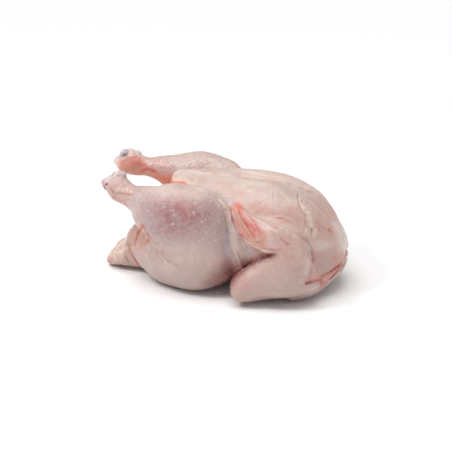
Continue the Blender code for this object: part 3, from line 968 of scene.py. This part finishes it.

# %% Small stains, and small marks of painted light and shade
# Each entry is a stain, or a small mark of painted light or painted shade: its mask, its radius in
# millimetres, its strength and its pixels
STAIN_REACH = 1.9
STAINS_LIGHT_AND_SHADE = {
    # Painted shade, dark red, in the valley under the wing and at the end of the neck cut, with a blood
    # stain among it
    "valley deep": ("deep", 3.6, 0.95, (262, 257.5), (250, 264), (240, 270.5), (230, 279), (222, 286)),
    "valley red": ("blood", 5.0, 0.4, (256, 260), (244, 266), (234, 272), (224, 281)),
    "valley dark": ("deep", 2.4, 1.0, (274, 254.6), (266, 256), (260, 259.5), (252, 264.5), (243, 270)),
    "neck dark": ("deep", 1.4, 0.6, (306, 283.6), (311, 282)),
    "calf red": ("blood", 6.0, 0.22, (181, 204), (187, 214)),
    "calf red two": ("blood", 3.5, 0.18, (177, 208)),
    "calf red three": ("blood", 3.0, 0.2, (186, 219)),
    "thigh vein": ("vein", 4.0, 0.3, (226, 230), (227, 242), (226, 254)),
    "flank vein": ("vein", 3.5, 0.4, (247, 247), (250, 252)),
    "keel under": ("orange", 2.1, 1.0, (172.5, 181.8), (177, 182.8), (183, 183), (190, 185.4)),
    "keel under blood": ("blood", 1.2, 0.7, (176, 182.8), (182, 183.2), (187, 184.6)),
    "keel under line": ("orange", 1.2, 0.7, (190, 185), (197, 188.6)),
    "keel fat": ("fat", 1.5, 0.6, (172.5, 178.5), (180, 180.5), (190, 183), (197, 186.5)),
    "keel corner fat": ("fat", 2.0, 0.8, (173, 178), (174, 181)),
    "keel cream": ("pale", 9.0, 0.55, (180, 172), (200, 174), (230, 178), (262, 184)),
    "vent top": ("orange", 1.8, 0.8, (141.5, 226), (139.5, 229)),
    "vent fat": ("fat", 1.7, 0.9, (143.5, 229), (141, 232.6)),
    "vent crease": ("orange", 1.3, 0.9, (142.7, 227), (139, 232.5), (136.5, 238), (135.2, 244)),
    "vent crease two": ("orange", 1.3, 0.8, (148, 235), (150.5, 238), (147, 242)),
    "vent edge": ("flesh", 2.4, 0.7, (137, 227), (132.5, 233), (130.5, 240), (130, 247)),
    "tail tip": ("orange", 2.4, 0.8, (107, 261.5), (109.5, 262)),
    "tail tip flush": ("flush", 3.0, 0.9, (110, 260), (114, 262)),
    "tail root": ("orange", 1.7, 1.0, (129, 249), (131, 254), (135.3, 260.5), (139.5, 267)),
    "tail root fold": ("flesh", 2.6, 0.8, (127, 251), (129, 254)),
    "tail dot one": ("purple", 0.8, 0.8, (119.9, 247)),
    "tail dot two": ("purple", 0.8, 0.8, (123.7, 247.4)),
    "tail dot three": ("purple", 0.8, 0.8, (124.9, 251)),
    "hand streak one": ("blood", 1.6, 0.8, (238, 208), (242, 216), (246, 222)),
    "hand streak two": ("blood", 2.0, 0.9, (246, 223.5), (250.5, 225.6), (254, 228)),
    "hand streak three": ("blood", 2.0, 0.8, (239.5, 235), (243, 236.6)),
    "hand line": ("blood", 1.2, 0.8, (247, 228), (251, 233), (254.5, 237)),
    "hand lower blood": ("blood", 1.1, 0.5, (262, 248), (269, 249.5), (276, 250.6), (280, 249.6)),
    "hand outer rim": ("orange", 1.2, 0.7, (230.6, 206), (231.6, 215), (234, 225.6)),
    "hand top fat": ("fat", 1.3, 0.6, (236.5, 205.5), (236, 212), (239, 218)),
    "hand vein": ("vein", 2.6, 0.8, (258, 224), (260.5, 227), (263, 229)),
    "wrist red": ("blood", 1.6, 0.9, (277.6, 227.6)),
    "wrist line": ("flush", 2.0, 0.9, (279.6, 237), (284, 242), (289, 246)),
    "forearm flush": ("flush", 5.0, 0.8, (283, 254), (288, 257)),
    "elbow flush": ("flush", 8.0, 0.85, (231, 292), (236, 286), (246, 284)),
    "elbow rim": ("orange", 1.6, 0.5, (229, 296), (236, 300), (244, 302)),
    "web red": ("blood", 1.5, 0.5, (311.8, 252), (312.6, 257), (312.8, 260)),
    "web red low": ("flush", 2.8, 0.9, (312.4, 264), (310, 273), (306.5, 282)),
    "web pale": ("pale", 3.4, 0.5, (307.5, 248), (308.6, 260), (306, 272)),
    "web foot": ("flush", 4.0, 0.7, (302, 286), (306, 283)),
    "breast flush keel": ("flush", 1.8, 0.8, (238, 174), (262, 176), (288, 179.5), (305, 185), (318, 192)),
    "breast flush mid": ("flush", 6.0, 0.75, (262, 208), (272, 212), (284, 221)),
    "breast flush side": ("flush", 7.0, 0.7, (284, 210), (292, 214), (300, 222)),
    "breast red dot": ("blood", 1.5, 0.9, (328.5, 229.6), (331, 232)),
    "breast red dot two": ("blood", 1.3, 0.5, (305.4, 222)),
    "breast red dot three": ("blood", 1.1, 0.8, (311.9, 229.6)),
    "breast red arc": ("blood", 0.9, 0.6, (318.5, 227), (320, 231)),
    "breast fat": ("pale", 3.4, 0.55, (303.6, 206.5), (309, 213), (311.6, 219.5), (312.3, 226)),
    "breast fat lobes": ("pale", 4.2, 0.5, (306.7, 232), (311, 235), (315.4, 232)),
    "front orange": ("orange", 1.7, 0.7, (340, 264.5), (343, 261)),
    # Painted light on the front edge
    "front pale edge": ("pale", 2.0, 0.9, (346, 246), (347.6, 254), (346.6, 261)),
    "neck blood": ("blood", 1.8, 1.0, (306.5, 283), (313, 281.2), (320.8, 279), (328.5, 276.8), (333, 274)),
    "neck orange": ("orange", 2.0, 0.9, (319, 282.5), (325, 281.5)),
    "neck glow": ("flesh", 4.0, 0.5, (310, 279), (320, 276), (331, 272)),
    "neck shade": ("flush", 3.0, 1.0, (308, 280), (320, 276), (330, 272)),
    "neck lip": ("pale", 2.4, 0.25, (309, 289), (318, 286.5), (325, 283.5)),
    "neck lip orange": ("flesh", 2.0, 0.6, (322, 287), (326, 284)),
    "near knob pink": ("flush", 4.0, 0.5, (118, 182), (124, 183)),
    "near knob deep": ("flesh", 1.7, 0.8, (111.4, 190), (114.6, 194.6)),
    "near knob rim": ("fat", 2.0, 0.6, (105, 189), (105, 194)),
    "near knob fat": ("fat", 2.4, 0.4, (117, 190), (124, 190.8), (130, 191.4)),
    "near shank orange": ("orange", 1.0, 0.4, (121, 193.8), (126, 194.8), (131, 195)),
    "near shank flap": ("flush", 2.4, 0.9, (113, 197.6), (121, 202), (128, 205.6)),
    "near shank top": ("flush", 2.0, 0.8, (128, 180), (132, 186)),
    "drumstick behind": ("flush", 2.4, 0.9, (137, 213), (140, 222)),
}


def paint(mask, line, radius, strength):
    """Marks a stain round a line. Its radius is in millimetres."""
    chosen, distance, _ = near_line(line, radius * STAIN_REACH * MM)
    bell = np.exp(-((distance / (radius * MM)) ** 2)) * strength
    masks[mask][chosen] = np.maximum(masks[mask][chosen], bell)


for name, (mask, radius, strength, *pixels) in STAINS_LIGHT_AND_SHADE.items():
    for line in sides_of(name, pixels):
        paint(mask, line, radius, strength)
print("small stains:", len(STAINS_LIGHT_AND_SHADE))

# %% [markdown]
# ## The inner side of the far leg
#
# The skin was cut short at the right hock, and the camera looks at the bare inner side of that leg. So
# its stains go on the right side alone: brownish orange flesh with a crimson streak, and a pale rim.

# %% Stains of the far leg
FAR_FROM = 20 * MM
# Each patch: its mask, its strength, the softness of its edge and its outline
FAR_PATCHES = (
    ("ruddy", 1.0, 2.5, (119, 162), (126, 159), (136, 156), (144, 162), (152, 168), (164, 174), (172, 176),
        (173, 186), (158, 184), (145, 180), (127, 177), (119, 170)),
    ("orange", 0.9, 4, (152, 177), (164, 175), (174, 176), (176, 189), (158, 186)),
    ("blood", 0.5, 6, (131, 156), (139, 157), (146, 164), (141, 167), (132, 163)),
    ("purple", 0.3, 6, (128, 164), (140, 165), (144, 172), (132, 174)),
    ("fat", 0.4, 3, (118, 160), (124, 159), (126, 163), (122, 168), (118, 168)),
    ("flush", 0.9, 5, (146, 158), (160, 159), (172, 165), (180, 172), (170, 176), (156, 170)),
    ("pale", 0.9, 2, (113, 160), (118, 157), (120, 163), (118, 172), (113, 170)),
    ("pale", 0.7, 2, (126, 147), (136, 148), (143, 151), (143, 156), (135, 155), (127, 154)),
    ("vein", 0.5, 2, (134, 148), (143, 151), (142, 155), (134, 153)),
)
far_side = points[:, 1] > FAR_FROM
for mask, strength, softness, *outline in FAR_PATCHES:
    strengthen(mask, patch(outline, softness, own=True) * far_side * strength)

FAR_STAINS = {
    "knob pink": ("flush", 2.0, 0.9, (132, 149), (134, 151)),
    "knob line": ("blood", 0.9, 0.7, (127.6, 149), (128.4, 152)),
    "crimson streak": ("blood", 1.9, 1.0, (143, 171), (148, 169), (155, 171.5)),
    "crimson dot": ("blood", 1.2, 1.0, (147.4, 168)),
    "lower band": ("flush", 1.8, 0.9, (142, 175), (150, 176), (154, 178)),
    "far thigh band": ("flush", 2.0, 0.9, (238, 166.5), (248, 168), (257, 170)),
}
for mask, radius, strength, *pixels in FAR_STAINS.values():
    paint(mask, seen(pixels), radius, strength)
print("far leg stains:", len(FAR_PATCHES) + len(FAR_STAINS))

# %% Painted light on the far breast, and where bumps don't show
FAR_LOBE = ((232, 166), (262, 169), (296, 177), (320, 188), (334, 202), (318, 195), (290, 184), (246, 176))
# Painted light: the far breast, which faces away from the light, is painted paler
strengthen("pale", 0.6 * patch(FAR_LOBE, 5, own=True) * (points[:, 1] > 0))
masks["follicle"] *= 1 - np.clip(masks["ruddy"] + masks["flesh"] + masks["orange"], 0, 1)
masks["goose"] *= 1 - np.clip(masks["ruddy"] + masks["flesh"], 0, 1)
print("points with bumps:", int((masks["goose"] > LEAST_GOOSE).sum()))

# %% [markdown]
# ## Cut edges
#
# The bird was opened at the tail end and its neck was taken off. Round both cuts the fat under the skin
# shows as a cream rim, and the flesh inside it is red.

# %% Rims of the two openings
NECK_SLIT = [(111, -50, 18), (123, -38, 24), (133, -21, 31), (137, 0, 36), (133, 21, 31), (123, 38, 24),
             (111, 50, 18)]
MOUTH_LINE = [(-92, 0, 60), (-80, 0, 60)]
MOUTH_END = -60
slit = within(NECK_SLIT, 3.5, 2.5)
mouth = within(MOUTH_LINE, 27, 5) * (along < MOUTH_END)
strengthen("flesh", 0.7 * slit)
strengthen("flesh", 0.5 * mouth * turned_in)
strengthen("fat", 0.6 * mouth * (1 - turned_in))
print("slit points:", int(slit.sum()), "rim points:", int(mouth.sum()))

# %% [markdown]
# ## Shape the skin
#
# Now every point moves along its own normal by its rise. Two light rounds of smoothing follow, so that
# steep strokes don't leave jagged cells.

# %% Move the points
RISE_LIMIT = 3.0
REST_BAND = 1.5
CALM_ROUNDS = 2
CALM_SHARE = 0.3
FLOOR_GAP = 0.2


def write_mask(piece, name, values):
    """Stores one number for each point, which a material can read by name."""
    layer = piece.data.attributes.new(name, "FLOAT", "POINT")
    layer.data.foreach_set("value", np.clip(values, 0, 1).astype(np.float32))


rise = np.clip(rise, -RISE_LIMIT * MM, RISE_LIMIT * MM)
underside = height < REST_BAND
rise[underside] = np.minimum(rise[underside], 0.0)
shaped = points + facing * rise[:, None]
for _ in range(CALM_ROUNDS):
    shaped = (1 - CALM_SHARE) * shaped + CALM_SHARE * neighbour_mean(shaped)
shaped[:, 2] = np.maximum(shaped[:, 2], FLOOR_GAP * MM)
skin.data.vertices.foreach_set("co", shaped.ravel())
skin.data.update()
for name, values in masks.items():
    write_mask(skin, name, values)
skin.data.shade_smooth()
print("skin shaped, lowest point", round(float(shaped[:, 2].min()) / MM, 2), "mm")

# %% [markdown]
# ## Shader helpers
#
# A material here is a stack of thin layers, so the steps that come back in each of them get a short
# name: a sum, smooth noise, and a window that spreads part of a range. Colours are written as a screen
# shows them, from 0 to 255, and turned into the linear numbers that Blender's shaders take.

# %% Nodes and colours


def tone(red, green, blue):
    """A colour as it looks on a screen, turned into linear light."""
    return tuple(((v / 255 + 0.055) / 1.055) ** 2.4 for v in (red, green, blue)) + (1.0,)


def maths(tree, operation, *values, **settings):
    """The result of one sum on numbers or sockets."""
    sums = add_node(tree, "ShaderNodeMath", dict(enumerate(values)), operation=operation, **settings)
    return sums.outputs[0]


def noise_of(tree, scale, detail=3.0, roughness=0.55, distortion=0.0):
    """Smooth noise through the object."""
    where = add_node(tree, "ShaderNodeTexCoord")
    made = add_node(tree, "ShaderNodeTexNoise", {
        "Vector": where.outputs["Object"], "Scale": scale, "Detail": detail, "Roughness": roughness,
        "Distortion": distortion})
    return made.outputs["Fac"]


def window(tree, value, low, high, first=0.0, last=1.0, **settings):
    """Spreads a value between low and high over the range from first to last."""
    made = add_node(tree, "ShaderNodeMapRange", {
        "Value": value, "From Min": low, "From Max": high, "To Min": first, "To Max": last}, **settings)
    return made.outputs["Result"]


print("cream in linear light:", [round(v, 2) for v in tone(233, 210, 200)])

# %% [markdown]
# ## Stain: a shader node group
#
# Blood under skin has a ragged edge. This group lays a stain colour over the colour below, where the
# mask says so, and breaks the mask up with noise. It is used many times in each material, so it is one
# group with named inputs.
# The layers of painted shade and painted highlight go through it as well.

# %% Build the stain group
RAGGED_GAIN = 4.0


def new_group(name, inputs, output, kind="NodeSocketFloat"):
    """A node group whose inputs have these names and first values, and its two end nodes."""
    group = bpy.data.node_groups.new(name, "ShaderNodeTree")
    for label, value in inputs.items():
        taken = "NodeSocketFloat" if isinstance(value, float) else "NodeSocketColor"
        group.interface.new_socket(label, in_out="INPUT", socket_type=taken).default_value = value
    group.interface.new_socket(output, in_out="OUTPUT", socket_type=kind)
    return group, group.nodes.new("NodeGroupInput").outputs, group.nodes.new("NodeGroupOutput")


layer_group, given, end = new_group("stain", {
    "Color": WHITE, "Stain": (1.0, 0.0, 0.0, 1.0), "Mask": 0.0, "Ragged": 0.5, "Grain": 300.0,
}, "Color", "NodeSocketColor")
centred = maths(layer_group, "SUBTRACT", noise_of(layer_group, given["Grain"], roughness=0.6), 0.5)
swing = maths(layer_group, "MULTIPLY", centred, given["Ragged"])
wide = maths(layer_group, "MULTIPLY_ADD", swing, RAGGED_GAIN, 1.0)
broken = maths(layer_group, "MULTIPLY", wide, given["Mask"], use_clamp=True)
# The numbers are the Mix node's two colour inputs and its colour output, which share their names
# with others
mixed = add_node(layer_group, "ShaderNodeMix", {
    "Factor": broken, 6: given["Color"], 7: given["Stain"]}, data_type="RGBA")
set_sockets(layer_group, end, {"Color": mixed.outputs[2]})
print("group", layer_group.name, "has", len(layer_group.nodes), "nodes")

# %% [markdown]
# ## Fine relief: a shader node group
#
# Between the folds the skin has goose bumps, pores and hair-fine wrinkles, most of them too small for
# the mesh. They only bend the light, so a height for a Bump node is enough. All depths are in
# millimetres. The goose bumps come from a cell pattern: every cell's middle is the top of one bump.

# %% Build the fine relief group
relief_group, given, end = new_group("fine_relief", {
    "Pore Scale": 900.0, "Pore Depth": 0.05, "Wrinkle Scale": 350.0, "Wrinkle Depth": 0.1,
    "Goose Scale": 330.0, "Goose Depth": 0.0,
}, "Height")
where = add_node(relief_group, "ShaderNodeTexCoord").outputs["Object"]
pores = add_node(relief_group, "ShaderNodeTexVoronoi", {
    "Vector": where, "Scale": given["Pore Scale"]}, feature="SMOOTH_F1")
cells = add_node(relief_group, "ShaderNodeTexVoronoi", {
    "Vector": where, "Scale": given["Goose Scale"], "Randomness": 0.8})
bumps = window(relief_group, cells.outputs["Distance"], 0.0, 0.5, 1.0, 0.0, interpolation_type="SMOOTHSTEP")
wrinkles = noise_of(relief_group, given["Wrinkle Scale"], 4.0, 0.6, 0.6)
total = maths(relief_group, "MULTIPLY", pores.outputs["Distance"], given["Pore Depth"])
total = maths(relief_group, "MULTIPLY_ADD", wrinkles, given["Wrinkle Depth"], total)
total = maths(relief_group, "MULTIPLY_ADD", bumps, given["Goose Depth"], total)
set_sockets(relief_group, end, {"Height": total})
print("group", relief_group.name, "has", len(relief_group.nodes), "nodes")

# %% [markdown]
# ## Wet film: a shader node group
#
# Raw skin is moist in patches. Where the film is thick the surface is glossy, and where it has dried it
# is satin. The group turns broad noise into a roughness between two values.

# %% Build the wet film group
film_group, given, end = new_group(
    "wet_film", {"Patch Scale": 60.0, "Wet": 0.2, "Dry": 0.45}, "Roughness")
patches = noise_of(film_group, given["Patch Scale"])
spread = window(film_group, patches, 0.35, 0.65, given["Wet"], given["Dry"])
set_sockets(film_group, end, {"Roughness": spread})
print("group", film_group.name, "has", len(film_group.nodes), "nodes")

# %% [markdown]
# ## Stacking the layers
#
# The layers run from what lies under the skin to what lies on it: mottled pale meat, the pink flush and
# the dark meat that show through, painted shade on the low skin that faces down, then veins and fat,
# pale skin with a painted highlight and painted light, bare flesh and blood, and last the painted shade
# of the creases and the valley, the bumps and the cavity. Light goes a few millimetres into skin and
# comes out redder, so the shader has subsurface scattering. It stays in the material itself, and its
# constant values sit on its own sockets.

# %% Helpers for a layered surface
SCATTER_RADIUS = (1.0, 0.42, 0.28)


def named_mask(tree, name, share=1.0):
    """A mask of the mesh, by its name, times a share."""
    mask = add_node(tree, "ShaderNodeAttribute", attribute_name=name).outputs["Fac"]
    return mask if share == 1.0 else maths(tree, "MULTIPLY", mask, share)


def noise_mask(tree, scale, low, high, share=1.0):
    """A mask of soft patches: 0 where the noise is under low, and the share where it is over high."""
    mask = window(tree, noise_of(tree, scale), low, high)
    return mask if share == 1.0 else maths(tree, "MULTIPLY", mask, share)


def layered(tree, base, layers):
    """Lays stains over a base. A layer is its colour, its mask or the mask's name, raggedness and grain."""
    below = tone(*base)
    for colour, mask, ragged, grain in layers:
        socket = named_mask(tree, mask) if isinstance(mask, str) else mask
        step = add_node(tree, "ShaderNodeGroup", {
            "Color": below, "Stain": tone(*colour), "Mask": socket, "Ragged": ragged, "Grain": grain,
        }, node_tree=layer_group)
        below = step.outputs["Color"]
    return below


def finish_surface(tree, shader, colour, film, relief, scatter):
    """Connects colour, roughness and bump, and sets the scattering on the shader's own sockets."""
    wet = add_node(tree, "ShaderNodeGroup", film, node_tree=film_group)
    fine = add_node(tree, "ShaderNodeGroup", relief, node_tree=relief_group)
    bend = add_node(tree, "ShaderNodeBump", {
        "Height": fine.outputs["Height"], "Strength": 1.0, "Distance": MM})
    set_sockets(tree, shader, {
        "Base Color": colour, "Roughness": wet.outputs["Roughness"], "Normal": bend.outputs["Normal"],
        "Subsurface Weight": scatter[0], "Subsurface Radius": SCATTER_RADIUS,
        "Subsurface Scale": scatter[1] * MM})


print("shader helpers ready")

# %% [markdown]
# ## The skin material
#
# Three layers of soft mottling come first. Each of the others reads one mask of the skin. Its
# raggedness says how much noise breaks its edge up, and its grain how fine that noise is, in waves for
# each metre.

# %% Skin
GOOSE_DEPTH = 0.48

skin_material, tree, shader = new_material("raw_skin")
colour = layered(tree, (197, 175, 166), [
    ((193, 160, 150), noise_mask(tree, 45, 0.42, 0.66), 0.0, 300),
    ((209, 193, 180), noise_mask(tree, 75, 0.50, 0.70), 0.0, 300),
    ((206, 172, 164), noise_mask(tree, 330, 0.45, 0.70, 0.7), 0.0, 300),
    ((202, 156, 146), "flush", 0.5, 130),
    ((180, 160, 163), "lilac", 0.3, 150),
    ((160, 106, 108), "purple", 0.6, 210),
    # Painted shade on the low skin that faces down
    ((166, 142, 138), named_mask(tree, "shade", 0.6), 0.2, 60),
    ((176, 176, 194), "vein", 0.3, 250),
    ((222, 198, 164), "fat", 0.3, 250),
    # Paler skin and fat, and also a painted highlight and painted light
    ((222, 204, 192), "pale", 0.2, 250),
    ((194, 138, 124), "flesh", 0.6, 260),
    ((208, 142, 124), "ruddy", 0.3, 200),
    ((208, 108, 82), "orange", 0.7, 300),
    ((192, 84, 82), "blood", 0.9, 280),
    # Painted shade in the creases, with a reddish tint
    ((168, 108, 100), "groove", 0.2, 300),
    # Painted shade, dark red, in the valley under the wing, on the flank and at the neck cut
    ((96, 32, 34), "deep", 0.2, 200),
    ((228, 212, 206), named_mask(tree, "follicle", 0.8), 0.2, 500),
    ((150, 52, 48), "cavity", 0.2, 150),
])
finish_surface(
    tree, shader, colour,
    film={"Patch Scale": 70.0, "Wet": 0.28, "Dry": 0.46},
    relief={"Pore Scale": 900.0, "Pore Depth": 0.12, "Wrinkle Scale": 330.0, "Wrinkle Depth": 0.5,
            "Goose Scale": 380.0, "Goose Depth": named_mask(tree, "goose", GOOSE_DEPTH)},
    scatter=(0.2, 2.0),
)
set_sockets(tree, shader, {"Coat Weight": 0.2, "Coat Roughness": 0.28})
skin.data.materials.clear()
skin.data.materials.append(skin_material)
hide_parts("chicken")
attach(skin, "root")
print("skin material has", len(tree.nodes), "nodes")

# %% [markdown]
# ## Knobs of cartilage
#
# Where the feet were cut off, the end of the shin bone shows: smooth knobs of grey cartilage with dark
# spots of marrow in them. They are their own pieces, because their edge against the skin is sharp.
# Stretched balls are melted together by a remesh, which leaves a waist between them.

# %% The cartilage material
cartilage_material, tree, shader = new_material("wet_cartilage")
colour = layered(tree, (198, 186, 184), [
    ((172, 160, 170), noise_mask(tree, 110, 0.44, 0.66), 0.0, 300),
    ((214, 200, 188), noise_mask(tree, 200, 0.50, 0.66), 0.0, 300),
    ((200, 150, 144), noise_mask(tree, 170, 0.52, 0.66, 0.6), 0.3, 400),
    ((112, 60, 70), "marrow", 0.4, 700),
])
finish_surface(
    tree, shader, colour,
    film={"Patch Scale": 150.0, "Wet": 0.2, "Dry": 0.4},
    relief={"Pore Scale": 1500.0, "Pore Depth": 0.05, "Wrinkle Scale": 420.0, "Wrinkle Depth": 0.4},
    scatter=(0.2, 1.5),
)
print("cartilage material has", len(tree.nodes), "nodes")

# %% Shape and place the knobs
# Each side: its balls, as middle and half sizes, and the places of its marrow spots
KNOBS = {
    "left": ([((-111.6, -47.5, 110.0), (6.0, 6.2, 7.2)), ((-108.0, -44.0, 114.0), (5.0, 6.0, 5.0)),
              ((-101.0, -40.5, 117.6), (7.6, 6.6, 6.0))],
             [(-110.6, -53.5, 111.5), (-113.5, -53.0, 108.5), (-110.5, -53.0, 106.5),
              (-101.5, -45.0, 119.0)]),
    "right": ([((-124.6, 47.0, 113.0), (6.4, 6.4, 8.0)), ((-118.5, 50.5, 113.0), (8.0, 5.5, 5.0)),
               ((-113.0, 54.0, 112.8), (6.5, 5.5, 4.8))],
              [(-123.6, 41.2, 115.4), (-124.6, 41.6, 112.6)]),
}
KNOB_CELL = 0.8 * MM
KNOB_ROUNDS = 9
KNOB_LUMPS = (5.0, 1.3)
MARROW_RADIUS = 1.6


def add_ball(bm, centre, half):
    """A stretched ball. Centre and half sizes are in millimetres."""
    made = bmesh.ops.create_icosphere(bm, subdivisions=3, radius=1.0)["verts"]
    for vert in made:
        vert.co = Vector(centre) * MM + Vector(v * h * MM for v, h in zip(vert.co, half))


def lumpy(piece, size, amount):
    """Makes a piece uneven, with lumps of this size and height in millimetres."""
    for vert in piece.data.vertices:
        vert.co += vert.normal * noise.noise(vert.co / (size * MM)) * amount * MM


def spots_on(piece, name, middles, radius):
    """Writes a mask of round spots on a piece. Middles and radius are in millimetres."""
    places = read_array(piece.data.vertices, "co", 3) / MM
    away = [np.linalg.norm(places - np.array(middle), axis=1) / radius for middle in middles]
    write_mask(piece, name, np.exp(-(np.min(away, axis=0) ** 2)))


def dress(piece, material):
    """Gives a piece its material and the body that it rides on."""
    piece.data.shade_smooth()
    piece.data.materials.append(material)
    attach(piece, "root")


for side, (balls, marrow) in KNOBS.items():
    bm = bmesh.new()
    for middle, half in balls:
        add_ball(bm, middle, half)
    knob = remeshed(link_mesh("hock_cartilage_" + side, bm), KNOB_CELL, KNOB_ROUNDS)
    lumpy(knob, *KNOB_LUMPS)
    spots_on(knob, "marrow", marrow, MARROW_RADIUS)
    dress(knob, cartilage_material)
    print(knob.name, len(knob.data.vertices), "points")

# %% [markdown]
# ## Flesh in the neck cut
#
# The neck was cut off, and the skin closes over the cut as two lips. Between them lies red flesh. It is
# a soft roll that follows the cut, a little below the skin, so that the cut looks filled and not hollow.

# %% The flesh material
flesh_material, tree, shader = new_material("raw_flesh")
colour = layered(tree, (202, 148, 138), [
    ((192, 118, 110), noise_mask(tree, 90, 0.46, 0.62), 0.2, 300),
    ((210, 160, 146), noise_mask(tree, 190, 0.50, 0.66), 0.2, 300),
])
finish_surface(
    tree, shader, colour,
    film={"Patch Scale": 120.0, "Wet": 0.16, "Dry": 0.34},
    relief={"Pore Scale": 700.0, "Pore Depth": 0.2, "Wrinkle Scale": 300.0, "Wrinkle Depth": 0.6},
    scatter=(0.25, 2.0),
)
print("flesh material has", len(tree.nodes), "nodes")

# %% The roll of flesh
FLESH_ROUTE = [(104, -48.5, 16.5), (116, -36.5, 22.5), (126, -21, 29.5), (129.6, 0, 34.5), (126, 21, 29.5),
               (116, 36.5, 22.5), (104, 48.5, 16.5)]
FLESH_HALF = (8.0, 8.0, 5.2)
FLESH_STEP = 3.0
FLESH_CELL = 1.2 * MM
FLESH_ROUNDS = 6
FLESH_LUMPS = (6.0, 1.6)

bm = bmesh.new()
for middle in along_curve([Vector(p) for p in FLESH_ROUTE], FLESH_STEP):
    add_ball(bm, middle, FLESH_HALF)
neck_flesh = remeshed(link_mesh("neck_flesh", bm), FLESH_CELL, FLESH_ROUNDS)
lumpy(neck_flesh, *FLESH_LUMPS)
dress(neck_flesh, flesh_material)
print("neck flesh has", len(neck_flesh.data.vertices), "points")
